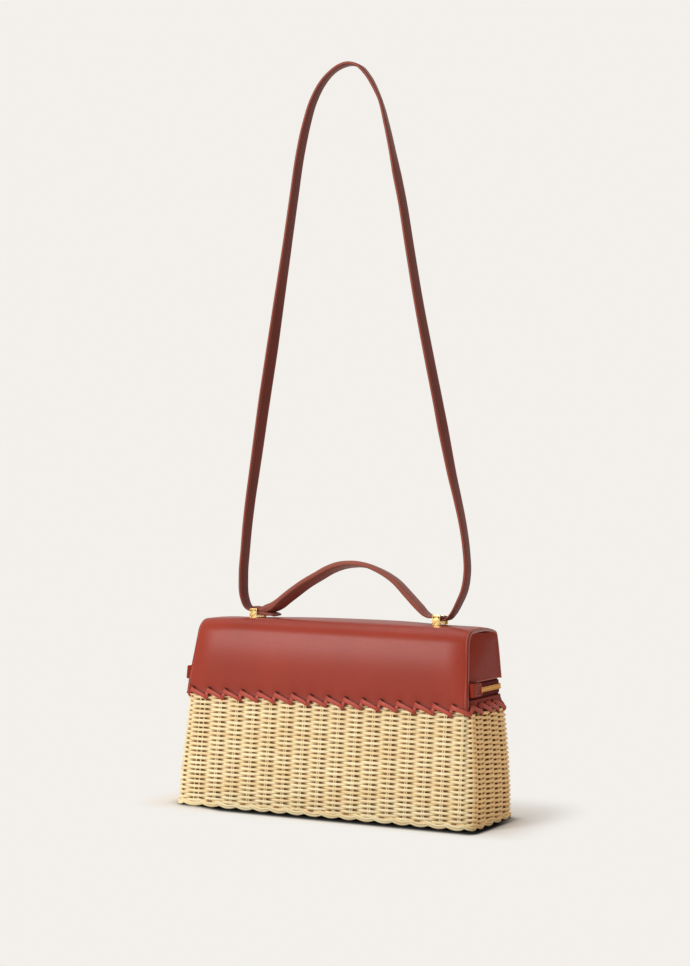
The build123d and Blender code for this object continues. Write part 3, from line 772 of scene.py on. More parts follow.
def settle(points):
    """Shapes the soft top. For each x a smooth line gives the rise at the middle of the depth and at the back,
    and smooth steps give the drop at the front; between them the rise goes with the square of y. The back fold
    is drawn out by a bell about its middle, and the left end's front edge stands out by smooth steps."""
    x, y, z = np.moveaxis(points, -1, 0)
    control = np.array([
        (-150, -2.0, -4.4), (-125, -2.0, -4.0), (-108, -2.2, -4.1), (-92, -1.6, -3.4), (-76, -1.0, -2.7),
        (-60, -0.2, -2.0), (-42, 0.5, -1.4), (-20, 1.1, -1.0), (5, 1.5, -0.9), (30, 1.8, -0.8),
        (50, 1.8, -1.0), (66, 1.3, -1.7), (82, 0.6, -2.0), (98, 0.5, -2.2), (112, 0.5, -2.8),
        (125, 0.8, -2.6), (150, 0.8, -2.6),
    ])
    line = bspline(control[None], 6)[0]
    middle, back = (np.interp(x, line[:, 0], line[:, column]) for column in (1, 2))
    front = -2.2 * (1 - smooth_step(x, -128, -85)) - 0.8 * smooth_step(x, 106, 126)
    rise = middle + (np.where(y < 0, front, back) - middle) * np.clip(np.abs(y) / 31, 0, 1) ** 2
    flare = -2.0 * smooth_step(-x, 112, 131) * (1 - smooth_step(z, 103, 152)) * (1 - smooth_step(y, -34, -14))
    fold = 1.9 * np.exp(-((y - 32) ** 2 + (z - 159.5) ** 2) / 22)
    return points + np.stack([flare, 0.7 * fold, rise * smooth_step(z, 138, 160) + fold], -1)


def cut_cover(name, leather, replaced):
    """Cover: one panel up the front, over the top and down the back. Its face is the side profile drawn along
    X, puffed out a little over the front, pressed in along the two sewn edges and drawn in by the lacing."""
    near = (0.0, 0.15, 0.4, 0.8, 1.3, 1.9, 2.5, 3.1, 3.8, 4.8, 6.3, 8.5, 11.5, 15.0)
    total = cover_path(np.zeros(1), FOLD_RADIUS)[2]
    s = leather.trim + spread(total - leather.trim, near[:12], 2.0)
    profile, way, total = cover_path(s, FOLD_RADIUS)
    foot_half, half = leather_half(LEATHER_BOTTOM)[0], leather_half(profile[:, 1])[0]
    x = (spread(2 * foot_half, near, 2.0) - foot_half) * (half / foot_half)[:, None]
    rows, cols = x.shape
    face = np.concatenate([x[..., None], np.broadcast_to(profile[:, None], (rows, cols, 2))], -1)
    normals = np.concatenate([np.zeros((rows, cols, 1)), np.broadcast_to(way[:, None], (rows, cols, 2))], -1)
    side = half[:, None] - np.abs(x)
    ends = np.minimum(s - leather.trim, total - s)[:, None]
    puff_length, puff_side, groove_depth, groove_width = 80, 20, 0.35, 0.5
    front = np.clip(s / puff_length, 0, 1)[:, None]
    puff = leather.puff * np.sin(pi * front) ** 2 * (1 - np.clip(1 - side / puff_side, 0, 1) ** 2)
    pressed = -leather.press * np.clip(1 - side / PRESS_REACH, 0, 1) ** 2
    pressed = pressed - groove_depth * np.exp(-(((side - SEAM_INSET) / groove_width) ** 2))
    near_lace = np.exp(-(((s - 6.5) / 5) ** 2))[:, None]
    drawn = -0.6 * near_lace * (0.55 + 0.45 * np.cos(TURN * (x - LACE_FIRST + 0.4) / LACE_PITCH))
    face = settle(face + normals * (puff + pressed + drawn)[..., None])
    edge = np.minimum(side, ends)
    uv = np.stack([x, np.broadcast_to(s[:, None], x.shape)], -1)
    cover = slab(name, face, normals, COVER_THICKNESS, edge, CUT_ROUNDING, uv)
    return finish_piece(cover, "cover_calf", replaced)


def sew_seam(name, leather):
    """Stitches along both sewn edges of the cover: short rods that dip at both ends, end to end."""
    total = cover_path(np.zeros(1), FOLD_RADIUS)[2]
    start = np.arange(5.0, total - 5.0, leather.stitch)
    share = np.array([0.0, 0.25, 0.5, 0.75, 1.0])
    s = start[:, None] + share * leather.stitch * 0.86
    profile, way, _ = cover_path(s, FOLD_RADIUS)
    half = leather_half(profile[..., 1])[0]
    lift = -leather.press * (1 - SEAM_INSET / PRESS_REACH) ** 2 - 0.3 + 0.3 * np.sin(pi * share)
    raised = profile + way * lift[..., None]
    x = (half - SEAM_INSET)[..., None]
    lines = settle(np.concatenate([np.concatenate([side * x, raised], -1) for side in (-1, 1)]))
    out = np.concatenate([np.zeros((*way.shape[:2], 1)), way], -1)
    stitches = tubes(name, lines, np.concatenate([out, out]), 0.26, 0.34, oval(6))
    return finish_piece(stitches, "thread")


def dress_node(node, key):
    """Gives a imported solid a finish."""
    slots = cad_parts[node].data.materials
    slots.clear()
    slots.append(finish_of(key))


def set_into_bevel(node, name, key, width, segments=2, body="bag"):
    """Rounded copy of a hard solid, dressed and standing for it."""
    return finish_piece(softened_copy(node, name, width, segments), key, (node,), body)


def move_points(thing, rule):
    """Moves every point of a mesh by a rule given in millimetres."""
    vertices = thing.data.vertices
    points = np.empty(len(vertices) * 3, np.float32)
    vertices.foreach_get("co", points)
    moved = rule(points.reshape(-1, 3) / MM) * MM
    vertices.foreach_set("co", moved.astype(np.float32).ravel())
    thing.data.update()


def fold_tab(node, name, leather):
    """Zip tab: a rounded leather fold with a row of stitches round its outer face, set in from the edge. It is
    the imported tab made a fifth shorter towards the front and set 1.2 mm higher along the lean of the end; the
    left one stands 1.8 mm out."""
    low, high = (np.array(corner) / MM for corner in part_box(node))
    side = 1 if low[0] > 0 else -1
    rise, inset = 1.2, 1.8
    front = np.array([0.0, low[1], 0.0])
    lift = np.array([(-1.8 if side < 0 else 0.0) - side * rise * tan(END_LEAN), 0.0, rise])

    def shorten(points):
        return (points - front) * (1, 0.8, 1) + front + lift

    tab = set_into_bevel(node, name, "tab_calf", 0.3)
    move_points(tab, shorten)
    low, high = shorten(low), shorten(high)
    middle, size = (low + high) / 2, high - low
    long, tall, corner = size[1] - 2 * inset, size[2] - 2 * inset, 1.5
    count = int(2 * (long + tall) / leather.stitch)
    share = np.array([0.08, 0.3, 0.5, 0.7, 0.92])
    length = 2 * (long + tall) - 5.2
    place, _ = round_outline((np.arange(count)[:, None] + share) * length / count, long, tall, corner)
    z = middle[2] + place[..., 1]
    reach = max(abs(low[0]), abs(high[0])) - 0.02
    x = side * (reach - (z - low[2]) * tan(END_LEAN) + 0.16 * np.sin(pi * share))
    lines = np.stack([x, middle[1] + place[..., 0], z], -1)
    stitches = tubes(name + "_stitches", lines, np.array([side, 0.0, 0.06]), 0.2, 0.26, oval(6))
    return finish_piece(stitches, "thread")


def lace_up(name, replaced):
    """Lacing: each lace comes out of its hole in the leather, lies slanting over the seam and dives in under
    the basket's top row, and a short link comes up again beside it to the leather's edge. Each is a B-spline
    drawn on the outline of its own side, lifted off it; the same laces turned by half a turn lace the back and
    the left end. The routes give length along the side, height and lift."""
    over = np.array([
        (-3.2, 101.2, -2.4), (-2.5, 100.9, -0.6), (-1.4, 100.4, 1.0), (0.4, 99.7, 1.8), (3.0, 98.8, 2.1),
        (6.1, 97.7, 2.1), (9.2, 96.5, 2.1), (11.7, 95.4, 2.0), (13.2, 94.4, 1.6), (13.7, 93.3, 0.3),
        (13.7, 92.2, -2.2),
    ])
    link = np.array([
        (13.3, 93.4, -1.2), (13.4, 94.3, 0.6), (13.9, 95.6, 1.2), (14.5, 97.0, 1.3), (15.2, 98.4, 1.1),
        (15.9, 99.8, -0.2), (16.2, 100.6, -2.2),
    ])
    section = oval(12, 0.85)
    section[0, 0] = 0.66
    length, corner, turned = 267.0, 14.0, np.array([-1.0, -1.0, 1.0])
    front_starts = LACE_FIRST + LACE_PITCH * np.arange(16)[:, None]
    end_starts = np.array(END_LACES)[:, None]
    for route, title, wide in ((over, name, 1.0), (link, name + "_under", 0.9)):
        along, z, lift = route.T
        below = BASKET_LOW[1] + (BASKET_HIGH[1] - BASKET_LOW[1]) * z / BASKET_HEIGHT
        depth = np.where(z > LEATHER_BOTTOM, 2 * leather_half(z)[1], below)
        reach = np.interp(z, (90.0, 93.5, 97.5, 102.3), (267.4, 267.0, 262.0, 257.6))
        quarter = corner * pi / 2 - 2 * corner + reach / 2 + depth / 2
        front = round_outline(front_starts + along, length, depth, corner)
        end = round_outline(end_starts + quarter + along, reach, depth, corner)
        place, way = (np.concatenate(pair) for pair in zip(front, end))
        level = np.broadcast_to(z[:, None], (*place.shape[:2], 1))
        control = np.concatenate([place + way * lift[:, None], level], -1)
        facing = np.concatenate([way, np.full_like(level, 0.1)], -1)
        lines, out = (bspline(np.concatenate([v, v * turned]), 3) for v in (control, facing))
        share = np.linspace(0, 1, lines.shape[1])
        across = np.interp(share, (0, 0.12, 0.3, 0.75, 1), (1.7, 1.9, 1.95, 1.75, 1.5)) * wide
        deep = np.interp(share, (0, 0.2, 0.5, 1), (0.8, 1.0, 0.95, 0.85)) * (0.4 + 0.6 * wide)
        laces = tubes(title, lines, out, deep, across, section)
        finish_piece(laces, "lace_calf", replaced)


def round_zip(start, step, inset):
    """Points, outward directions and rising directions along the zip, from the right end's front round the back
    to the left end's front, at even steps. All but the left end stands 1.2 mm further out."""
    corner = 10.0
    length, depth = (2 * (half - inset) for half in leather_half(ZIP_HEIGHT))
    quarter = length / 2 + depth / 2 - 2 * corner + corner * pi / 2
    s = np.arange(quarter + start, 3 * quarter - start, step)
    place, way = round_outline(s, length, depth, corner)
    lean = tan(END_LEAN) + (tan(FRONT_LEAN) - tan(END_LEAN)) * way[:, 1] ** 2
    out = unit(np.concatenate([way, lean[:, None]], -1))
    run = np.stack([-way[:, 1], way[:, 0], np.zeros(len(s))], -1)
    points = np.concatenate([place, np.full((len(s), 1), ZIP_HEIGHT)], -1)
    points += out * 1.2 * smooth_step(points[:, :1], -90, -40)
    return points, out, np.cross(out, run)


def close_zip(name, zip_sizes, replaced):
    """Zip chain: small metal teeth in turn from the upper and the lower tape, each a short bar that narrows to
    its tip, a small upright bar beside the right tab, and a dark woven core behind them."""
    points, out, up = round_zip(-38.0, zip_sizes.pitch, 0.95)
    side = np.where(np.arange(len(points)) % 2 == 0, 1.0, -1.0)[:, None]
    along = np.array([2.2, 2.05, 1.2, 0.2, -0.6, -0.75])[:, None]
    lines = points[:, None] + (up * side)[:, None] * along
    deep = np.array([0.3, 0.62, 0.7, 0.62, 0.55, 0.25])
    wide = np.array([0.3, 0.6, 0.56, 0.42, 0.62, 0.3]) * zip_sizes.pitch / 1.2
    teeth = tubes(name, lines, out[:, None], deep, wide, oval(8, 0.7))
    finish_piece(teeth, "tooth_gold", replaced)

    past_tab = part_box("zip_tab_right")[1][1] / MM + 0.5
    at = np.flatnonzero((points[:, 0] > 100) & (points[:, 1] > past_tab))[:1]
    bar = points[at, None] + up[at, None] * np.array([-3.0, -2.7, 2.7, 3.0])[:, None] + out[at, None] * 0.9
    deep, wide = np.array([0.3, 0.8, 0.8, 0.3]), np.array([0.3, 0.75, 0.75, 0.3])
    stop = tubes("zip_stop", bar, out[at, None], deep, wide, oval(8, 0.6))
    finish_piece(stop, "gold")

    points, out, _ = round_zip(-40.0, 2.0, 1.9)
    wide = 3.4 + 2.0 * smooth_step(points[None, :, 0], -90, -40)
    core = tubes("zip_core", points[None], out[None], 0.3, wide, oval(12, 0.4))
    return finish_piece(core, "zip_cloth")


def bend_band(name, key, section, path, degrees, thin, replaced=()):
    """Sewn band along a path in the plane of the handle. The band's face turns about the path by the degrees,
    and thin is its thickness as a share of the section's, both given at shares of the path's length."""
    line, gone = through(path, 2.5)
    share = gone / gone[-1]
    run = unit(np.gradient(line, axis=0))
    normal = np.stack([-run[:, 1], run[:, 0]], -1)
    turn = np.radians(np.interp(share, *np.array(degrees).T))
    facing = np.stack([normal[:, 0] * np.cos(turn), -np.sin(turn), normal[:, 1] * np.cos(turn)], -1)
    points = np.stack([line[:, 0], np.zeros(len(line)), line[:, 1]], -1)
    deep = np.interp(share, *np.array(thin).T)
    band = tubes(name, points[None], facing[None], deep, 1.0, section)
    return finish_piece(band, key, replaced)


def wrap_eyes(name, key, x):
    """Ends of a band wrapped round the pins at x and -x: flat rings of leather about the pins."""
    around, pin, thickness, width = 24, 0.85, 1.4, 15.4
    angle = np.arange(around) / around * TURN
    ring = np.stack([np.cos(angle), np.zeros(around), np.sin(angle)], -1)
    centres = np.array([(-x, 0.0, PIN_HEIGHT), (x, 0.0, PIN_HEIGHT)])
    wound = centres[:, None] + ring * (pin + thickness / 2)
    facing = np.broadcast_to(ring, wound.shape)
    eyes = tubes(name, wound, facing, thickness / 2, width / 2, oval(12, 0.45), True)
    return finish_piece(eyes, key)


def shape_handle(replaced):
    """Handle: a thick sewn band, raised at its front edge on the left, with its left end folded under."""
    path = (
        (-82.6, 169.0), (-78.6, 169.2), (-74.6, 170.4), (-70.6, 171.6), (-66.2, 173.9), (-58.4, 179.9),
        (-50.0, 186.3), (-40.0, 193.5), (-28.0, 200.6), (-16.9, 206.9), (-6.0, 210.8), (2.8, 212.1),
        (10.2, 212.3), (16.2, 211.6), (28.3, 207.8), (43.0, 200.0), (56.8, 187.5), (66.5, 178.2),
        (73.4, 172.2), (78.0, 170.4), (82.6, 170.9),
    )
    degrees = (
        (0, 0), (0.05, -4), (0.11, -18), (0.18, -20), (0.28, -17), (0.45, -14), (0.55, -9), (0.68, -5),
        (0.82, -1), (1, 0),
    )
    thin = (
        (0, 0.6), (0.02, 1.1), (0.035, 1.6), (0.055, 1.7), (0.08, 1.4), (0.12, 1), (0.9, 1), (0.96, 0.6),
        (1, 0.36),
    )
    bend_band("handle_band", "handle_calf", HANDLE_SECTION, path, degrees, thin, replaced)
    tail = ((-82.4, 166.6), (-78.6, 166.3), (-75.0, 166.0), (-72.0, 165.8), (-69.0, 165.6), (-66.8, 164.8))
    thin = ((0, 0.8), (0.5, 0.8), (1, 0.4))
    bend_band("handle_tail", "handle_calf", HANDLE_SECTION, tail, ((0, 2), (1, 2)), thin)
    wrap_eyes("handle_eyes", "handle_calf", RING_X - PIN_OFFSET)


def shape_strap(replaced):
    """Shoulder strap: one long sewn band standing up in a narrow loop, turned a little along its length."""
    path = (
        (-88.6, 168.2), (-92.6, 168.8), (-96.4, 172.0), (-98.9, 177.5), (-101.1, 198.5), (-100.0, 220.5),
        (-98.5, 242.6), (-96.3, 264.7), (-93.5, 286.7), (-90.7, 308.8), (-85.2, 352.8), (-79.1, 396.7),
        (-73.4, 440.4), (-67.6, 484.1), (-62.1, 527.7), (-56.2, 571.2), (-51.7, 592.8), (-45.1, 614.3),
        (-37.7, 627.8), (-32.0, 634.5), (-20.9, 642.0), (-12.0, 644.0), (-3.0, 641.6), (5.2, 633.6),
        (13.6, 620.0), (17.9, 611.1), (24.6, 589.3), (30.2, 567.7), (35.4, 546.0), (40.6, 524.5),
        (49.2, 481.6), (58.0, 438.9), (67.8, 396.4), (78.0, 354.0), (87.9, 311.8), (93.0, 290.8),
        (98.7, 269.9), (103.9, 249.0), (107.6, 228.1), (109.0, 208.0), (106.8, 193.5), (102.6, 183.5),
        (97.4, 173.8), (93.2, 169.2), (88.6, 168.1),
    )
    degrees = (
        (0.0, 0.0), (0.06, 0.0), (0.105, -3), (0.145, -7), (0.19, -10), (0.235, -10), (0.285, -4), (0.33, 1),
        (0.42, 3), (0.48, 12), (0.515, -3), (0.545, -13), (0.565, -9), (0.59, -5), (0.61, 2), (0.635, 2),
        (0.72, 4), (0.765, 6), (0.81, 7), (0.83, 9), (0.87, 3), (0.89, 0), (0.915, -3), (0.94, -4),
        (1.0, 0.0),
    )
    thin = ((0, 0.55), (0.01, 0.7), (0.025, 1), (0.975, 1), (0.99, 0.7), (1, 0.55))
    bend_band("strap_band", "strap_calf", STRAP_SECTION, path, degrees, thin, replaced)
    wrap_eyes("strap_eyes", "strap_calf", RING_X + PIN_OFFSET)


def hang_lining(name, replaced):
    """Lining: an open cloth cup. Its profile runs from the middle of the floor up the inside, over the hem and
    down the outside to the floor again, drawn round an outline that narrows with height. The wall hangs in soft
    upright waves, deepest half way up."""
    low, high, thickness, corner, sides = 5.0, 105.2, 0.9, 7.0, 240
    floor, wall = np.linspace(0.05, 1, 7), np.linspace(0, 1, 24)
    level = np.zeros(len(floor) - 1)
    rise = np.concatenate([level, wall, wall[::-1], level])
    reach = np.concatenate([floor[:-1], np.ones(2 * len(wall)), floor[-2::-1]])
    cloth = thickness * (np.arange(len(rise)) < len(rise) / 2)
    z = low + (high - low) * rise + cloth * (1 - rise)
    length, depth = (264.6 - 13.8 * rise)[:, None], (87.7 - 11.5 * rise)[:, None]
    half = length + depth - 4 * corner + pi * corner
    around = np.arange(sides) / sides
    place, way = round_outline(around * 2 * half, length, depth, corner)
    waves = 0.7 + 0.7 * wander(1, around[None] * TURN, 24.0, 61)[0]
    sag = (np.sin(pi * rise)[:, None] * waves + cloth[:, None]) * (reach == 1)[:, None]
    flat = place * reach[:, None, None] - way * sag[..., None]
    points = np.concatenate([flat, np.broadcast_to(z[:, None, None], (*flat.shape[:2], 1))], -1)
    rows, cols = points.shape[:2]
    faces = grid_faces(rows, cols, False, True)[0]
    caps = np.stack([np.arange(cols)[::-1], (rows - 1) * cols + np.arange(cols)])
    thing = fill_mesh(name, points.reshape(-1, 3), [faces, caps])
    return finish_piece(thing, "lining_cloth", replaced)


def seat_loop(points):
    """Rule for the loops: the left one stands 1.8 mm lower and the right one 0.8 mm higher, and above the
    leather both lean down to the back."""
    x, y, z = points.T
    shift = np.where(x < 0, -1.8, 0.8) - 1.3 * smooth_step(y, -7, 8) * smooth_step(z - BAG_TOP, 4, 8)
    return points + np.stack([np.zeros_like(x), np.zeros_like(x), shift], -1)


# Stage


def set_camera():
    """Camera fitted to the photograph: its direction and roll in degrees, its eye in metres, and its focal
    length and the frame's height in pixels."""
    azimuth, height, roll = radians(24.035), radians(-0.139), radians(1.539)
    eye = Matrix.Translation((0.73867, -1.66899, 0.27734))
    focal_length, frame_height, sensor_height = 2119.2, 966, 36.0
    back = Vector((sin(azimuth) * cos(height), -cos(azimuth) * cos(height), sin(height)))
    right = Vector((cos(azimuth), sin(azimuth), 0))
    up = back.cross(right)
    turned, risen = right * cos(roll) + up * sin(roll), up * cos(roll) - right * sin(roll)
    data = bpy.data.cameras.new("photo_camera")
    data.sensor_fit = "VERTICAL"
    data.sensor_height = sensor_height
    data.lens = focal_length / frame_height * sensor_height
    data.clip_end = 50.0
    thing = put_in_scene("photo_camera", data)
    thing.matrix_world = eye @ Matrix((turned, risen, back)).transposed().to_4x4()
    bpy.context.scene.camera = thing


def floor_finish(name, stage):
    """Pale matt floor that keeps the shadow near the bag and becomes the plain background further out. The
    shadow reaches less far in front and past the ends. A contact shadow is painted into the floor's colour:
    darkest in a band along the front whose depth grows from the left corner and fades along the right end, and
    darker wherever other surfaces lie within 24 mm."""
    f = Finish(name)
    x, y, _ = f.split(f.place["Object"])
    half_length, half_depth, foot_front, foot_right = 0.14, 0.05, 0.0485, 0.1375
    along = f.most(abs(x) - half_length, 0.0) * f.between(x, -0.02, 0.02, 3.0, 2.2)
    across = f.most(abs(y) - half_depth, 0.0) * f.between(y, -0.05, -0.04, 3.5, 1.0)
    reach = f.between(f.length(along, across), stage.shadow_reach * 0.1, stage.shadow_reach)
    far = reach * f.camera_sees()
    away = f.length(f.most(-foot_front - y, 0.0), f.most(x - foot_right, 0.0) * 2.0)
    limit = f.between(x, -0.131, -0.085, -0.007, 0.0168, "LINEAR")
    # Painted shadow: a dark band by the distance from the bag's foot
    dark = f.fading(away - limit, -0.007, 0.006) * f.fading(y, 0.0, 0.055)
    # Painted shade: darker wherever other surfaces lie within 24 mm
    soft = f.between(f.crevice(0.024, 16), 0.3, 0.97, 0.35, 1.0) * (1.0 - dark)
    matt = f.add("ShaderNodeBsdfDiffuse", {"Color": f.blend(soft, SHADOW_COLOUR, stage.floor)})
    plain = f.add("ShaderNodeEmission", {"Color": (*stage.backdrop, 1.0), "Strength": 1.0})
    mixed = f.add("ShaderNodeMixShader", {0: far, 1: matt.outputs[0], 2: plain.outputs[0]})
    f.add("ShaderNodeOutputMaterial", {"Surface": mixed.outputs[0]})
    return f.material


def set_world(stage):
    """World of even soft light, seen by the camera as the plain background."""
    world = bpy.data.worlds.new("soft_room")
    bpy.context.scene.world = world
    w = Nodes(world)
    room = w.add("ShaderNodeBackground", {"Color": (*ROOM_COLOUR, 1.0), "Strength": stage.room_light})
    plain = w.add("ShaderNodeBackground", {"Color": (*stage.backdrop, 1.0)})
    mixed = w.add("ShaderNodeMixShader", {0: w.camera_sees(), 1: room.outputs[0], 2: plain.outputs[0]})
    w.add("ShaderNodeOutputWorld", {"Surface": mixed.outputs[0]})


def add_softbox(name, place, aim, size, power, colour):
    """Rectangular lamp at a place in metres, turned to face another."""
    data = bpy.data.lights.new(name, "AREA")
    data.shape = "RECTANGLE"
    data.size, data.size_y = size
    data.energy = power
    data.color = colour
    thing = put_in_scene(name, data)
    thing.location = place
    thing.rotation_euler = (Vector(aim) - Vector(place)).to_track_quat("-Z", "Y").to_euler()


def lay_floor(stage):
    """Round floor: rings of points round the middle, closed by one many-sided face."""
    sides = 96
    angle = np.arange(sides) / sides * TURN
    reach = np.array([6000.0, 1200.0])[:, None]
    points = np.stack([np.cos(angle) * reach, np.sin(angle) * reach, np.zeros((2, sides))], -1)
    faces = grid_faces(2, sides, False, True)[0]
    floor = fill_mesh("floor", points.reshape(-1, 3), [faces, sides + np.arange(sides)[None]])
    floor.data.materials.append(floor_finish("floor", stage))


# Settings that a user would change


def colour_setting(name, description, red, green, blue):
    """Colour setting whose default is a screen colour given from 0 to 255."""
    return FloatVectorProperty(
        name=name, description=description, subtype="COLOR", min=0.0, max=1.0,
        default=paint(red, green, blue),
    )


def size_setting(name, description, default):
    """Size setting in millimetres."""
    return FloatProperty(name=name, description=description, default=default, unit="NONE", precision=2)


def lamp_setting(name, description, default):
    """Power of a lamp in watts."""
    return FloatProperty(name=name, description=description, default=default, unit="POWER")


class BagLook(PropertyGroup):
    """Colours of the bag's materials"""

    straw: colour_setting("Straw", "Willow rods", 246, 224, 172)
    straw_pale: colour_setting("Pale straw", "Palest fibres of the willow", 255, 246, 212)
    straw_warm: colour_setting("Warm straw", "Warmer rods and blotches", 234, 199, 138)
    # Painted warm shade of the ends, not a browned straw
    straw_end_warm_shade: colour_setting("End straw", "Sun-browned rods of the ends", 252, 210, 146)
    straw_shadow: colour_setting("Straw in shade", "Rods behind the stakes and in the holes", 168, 92, 12)
    # Strength of the painted shade on the rods behind
    hole_shade_strength: FloatProperty(
        name="Hole depth", description="How far the rods behind darken", subtype="FACTOR", default=0.8
    )
    calf: colour_setting("Calf", "Cover, end panels, band and tabs", 151, 54, 38)
    lace_calf: colour_setting("Lace", "Lacing", 178, 80, 66)
    strap_calf: colour_setting("Strap calf", "Shoulder strap", 112, 52, 42)
    edge_paint: colour_setting("Edge paint", "Painted lines of the end panels and the band", 200, 124, 110)
    # The handle's paler, pinker face stands in part for a painted sheen on its upward faces
    handle: colour_setting("Handle", "Face of the handle", 146, 88, 76)
    # Partly edge paint and partly a painted highlight on the straps' round edges
    strap_edge_paint_and_highlight: colour_setting("Strap edge", "Painted edges of the straps", 148, 80, 66)
    # Partly edge paint and partly a painted highlight on the cut edge's round
    cut_edge_paint_and_highlight: colour_setting("Cut edge", "Cut thickness of the leather", 168, 98, 88)
    # Painted shade of the lace holes and creases, and the dark line inside a cut edge
    shade_and_edge_line_red: colour_setting("Deep red", "Lace holes, creases and the line inside a cut edge", 52, 12, 10)
    thread: colour_setting("Thread", "Sewing thread", 204, 124, 108)
    gold: colour_setting("Gold", "Loops, slider, puller, stop and pins", 222, 190, 126)
    tooth_gold: colour_setting("Tooth gold", "Teeth of the zip", 206, 152, 84)
    zip_cloth: colour_setting("Zip tape", "Woven tape of the zip", 104, 36, 34)
    lining: colour_setting("Lining", "Cloth inside the basket", 190, 120, 56)
    board: colour_setting("Board", "Fibre board of the base and top", 120, 88, 60)


class BasketSizes(PropertyGroup):
    """Sizes of the weave"""

    rows: IntProperty(name="Rows", description="Woven rows from foot to rim", default=47)
    bottom: size_setting("Lowest row", "Height of the lowest row", 3.4)
    top: size_setting("Highest row", "Height of the highest row", 95.7)
    rod: size_setting("Rod", "Thickness of a woven rod", 2.2)
    stake: size_setting("Stake", "Thickness of an upright rod", 1.2)
    swing: size_setting("Swing", "How far a row swings in and out of the middle of the wall", 1.95)
    middle: size_setting("Middle", "Depth of the middle of the wall inside its outer face", 3.2)


class LeatherSizes(PropertyGroup):
    """Sizes of the leather work"""

    puff: size_setting("Puff", "How far the front stands out in its middle", 2.4)
    press: size_setting("Press", "How far the leather is pressed in at its sewn edges", 1.3)
    trim: size_setting("Trim", "Height of the front's lower edge above the leather's lowest line", 1.9)
    stitch: size_setting("Stitch", "Length of a stitch", 2.2)


class ZipSizes(PropertyGroup):
    """Sizes of the zip"""

    pitch: size_setting("Tooth pitch", "Distance from tooth to tooth", 1.25)


class StageSettings(PropertyGroup):
    """Floor, background and lamps"""

    floor: colour_setting("Floor", "Matt floor", 240, 237, 232)
    backdrop: colour_setting("Background", "Plain background", 243, 240, 235)
    shadow_reach: FloatProperty(
        name="Shadow reach", description="Distance where the floor becomes the plain background", default=0.13,
        unit="LENGTH",
    )
    room_light: FloatProperty(name="Room light", description="Strength of the even light", default=0.5)
    key_light: lamp_setting("Key light", "Power of the lamp in front", 20.0)
    top_light: lamp_setting("Top light", "Power of the lamp overhead", 12.0)


# Operators


class BAG_OT_stage(Operator):
    """Sets up the camera, the pale floor, the background and the lamps"""

    bl_idname = "basket_bag.stage"
    bl_label = "Stage"

    def execute(self, context):
        stage = context.scene.bag_stage
        context.scene.view_settings.view_transform = "Standard"
        set_camera()
        set_world(stage)
        lay_floor(stage)
        key_colour, top_colour = (1.0, 0.985, 0.965), (1.0, 0.99, 0.975)
        add_softbox("key", (-0.78, -1.72, 0.84), (0.0, 0.0, 0.14), (0.62, 0.32), stage.key_light, key_colour)
        add_softbox("top", (-0.35, 0.1, 2.0), (0.0, 0.0, 0.1), (1.2, 1.2), stage.top_light, top_colour)
        return {"FINISHED"}


class BAG_OT_basket(Operator):
    """Weaves the basket: rows, stakes and the braided foot border"""

    bl_idname = "basket_bag.basket"
    bl_label = "Basket"

    def execute(self, context):
        basket = context.scene.bag_basket
        half = basket.rows // 2
        weave_rows("weave_low", 0, half, basket, ("basket_wall",))
        weave_rows("weave_high", half, basket.rows - half, basket, ("basket_wall", "basket_rim"))
        set_stakes("stakes", basket)
        braid_border("foot_braid", basket, ("foot_border",))
        return {"FINISHED"}


class BAG_OT_inside(Operator):
    """Hangs the lining and finishes the boards"""

    bl_idname = "basket_bag.inside"
    bl_label = "Inside"

    def execute(self, context):
        hang_lining("lining_cloth", ("lining",))
        dress_node("basket_base", "board")
        stiffener = set_into_bevel("top_stiffener", "stiffener", "board", 0.2)
        move_points(stiffener, settle)
        return {"FINISHED"}


class BAG_OT_cover(Operator):
    """Cuts and sews the leather cover"""

    bl_idname = "basket_bag.cover"
    bl_label = "Cover"

    def execute(self, context):
        leather = context.scene.bag_leather
        cut_cover("cover", leather, ("cover_panel",))
        sew_seam("cover_stitches", leather)
        return {"FINISHED"}


class BAG_OT_ends(Operator):
    """Sets in the end panels, the band and the zip tabs"""

    bl_idname = "basket_bag.ends"
    bl_label = "End pieces"

    def execute(self, context):
        leather = context.scene.bag_leather
        for side in ("left", "right"):
            panel = "end_panel_" + side
            gusset = set_into_bevel(panel, "gusset_" + side, "gusset_calf", 0.35)
            move_points(gusset, settle)
            fold_tab("zip_tab_" + side, "tab_" + side, leather)
        set_into_bevel("collar_band", "band", "band_calf", 0.35)
        return {"FINISHED"}


class BAG_OT_lacing(Operator):
    """Laces the leather to the basket"""

    bl_idname = "basket_bag.lacing"
    bl_label = "Lacing"

    def execute(self, context):
        lace_up("laces", ("lacing",))
        return {"FINISHED"}


class BAG_OT_zip(Operator):
    """Closes the zip and finishes its tapes, stop, slider and puller"""

    bl_idname = "basket_bag.zip"
    bl_label = "Zip"

    def execute(self, context):
        close_zip("zip_chain", context.scene.bag_zip, ("zip_teeth",))
        for node in ("zip_tape_lower", "zip_tape_upper"):
            dress_node(node, "zip_cloth")
        set_into_bevel("zip_stop", "stop", "gold", 0.3)
        set_into_bevel("zip_slider", "slider", "gold", 0.2, 2, "slider")
        set_into_bevel("zip_puller", "puller", "gold", 0.25, 2, "puller")
        return {"FINISHED"}


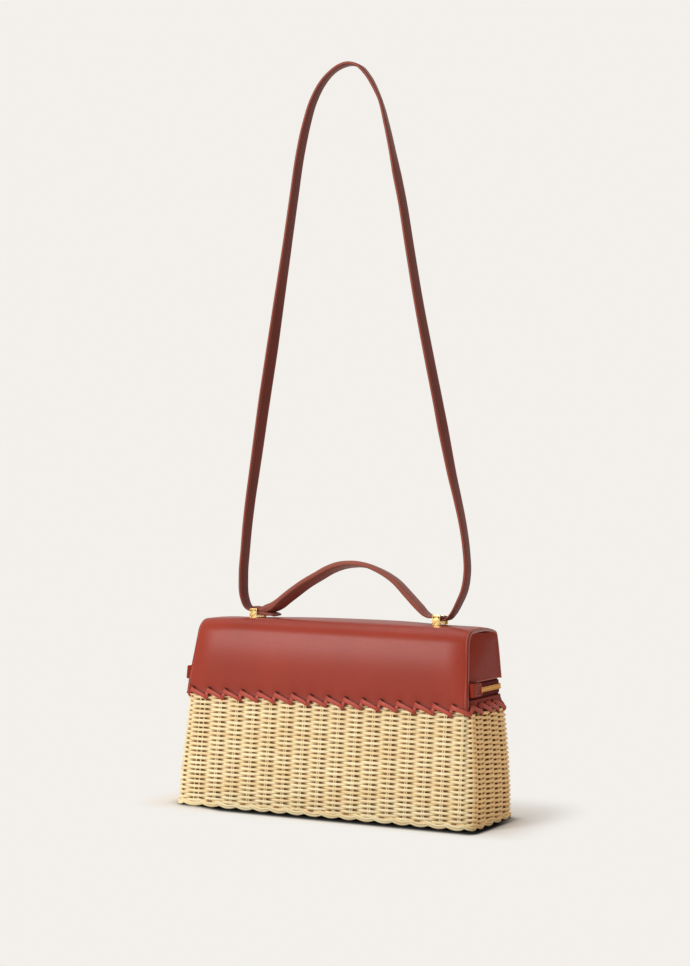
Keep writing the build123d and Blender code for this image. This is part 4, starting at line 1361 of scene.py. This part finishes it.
class BAG_OT_loops(Operator):
    """Finishes the metal loops, their nuts and pins"""

    bl_idname = "basket_bag.loops"
    bl_label = "Loops"

    def execute(self, context):
        for side in ("left", "right"):
            loop = set_into_bevel("ring_" + side, "loop_" + side, "gold", 0.25, 3)
            move_points(loop, seat_loop)
        for node in ("ring_nuts", "handle_pins", "strap_pins"):
            dress_node(node, "gold")
        return {"FINISHED"}


class BAG_OT_handle(Operator):
    """Shapes the top handle"""

    bl_idname = "basket_bag.handle"
    bl_label = "Handle"

    def execute(self, context):
        shape_handle(("handle",))
        return {"FINISHED"}


class BAG_OT_strap(Operator):
    """Shapes the shoulder strap"""

    bl_idname = "basket_bag.strap"
    bl_label = "Shoulder strap"

    def execute(self, context):
        shape_strap(("shoulder_strap",))
        return {"FINISHED"}


OPERATORS = (
    BAG_OT_stage, BAG_OT_basket, BAG_OT_inside, BAG_OT_cover, BAG_OT_ends, BAG_OT_lacing, BAG_OT_zip,
    BAG_OT_loops, BAG_OT_handle, BAG_OT_strap,
)
SETTINGS = {
    "bag_look": BagLook, "bag_basket": BasketSizes, "bag_leather": LeatherSizes, "bag_zip": ZipSizes,
    "bag_stage": StageSettings,
}


class BAG_PT_tools(Panel):
    """Lists the settings and the pieces in the order in which they are made"""

    bl_idname = "BAG_PT_tools"
    bl_label = "Basket Bag"
    bl_space_type = "VIEW_3D"
    bl_region_type = "UI"
    bl_category = "Basket Bag"

    def draw(self, context):
        for group in SETTINGS:
            settings = getattr(context.scene, group)
            box = self.layout.box()
            for key in settings.bl_rna.properties.keys():
                if key not in ("rna_type", "name"):
                    box.prop(settings, key)
        for operator in OPERATORS:
            self.layout.operator(operator.bl_idname)


def register():
    for group in SETTINGS.values():
        bpy.utils.register_class(group)
    for key, group in SETTINGS.items():
        setattr(bpy.types.Scene, key, PointerProperty(type=group))
    for operator in OPERATORS:
        bpy.utils.register_class(operator)
    bpy.utils.register_class(BAG_PT_tools)


def unregister():
    bpy.utils.unregister_class(BAG_PT_tools)
    for operator in reversed(OPERATORS):
        bpy.utils.unregister_class(operator)
    for key in SETTINGS:
        delattr(bpy.types.Scene, key)
    for group in reversed(SETTINGS.values()):
        bpy.utils.unregister_class(group)


def main():
    register()
    for operator in OPERATORS:
        group, name = operator.bl_idname.split(".")
        getattr(getattr(bpy.ops, group), name)()


if __name__ == "__main__":
    main()
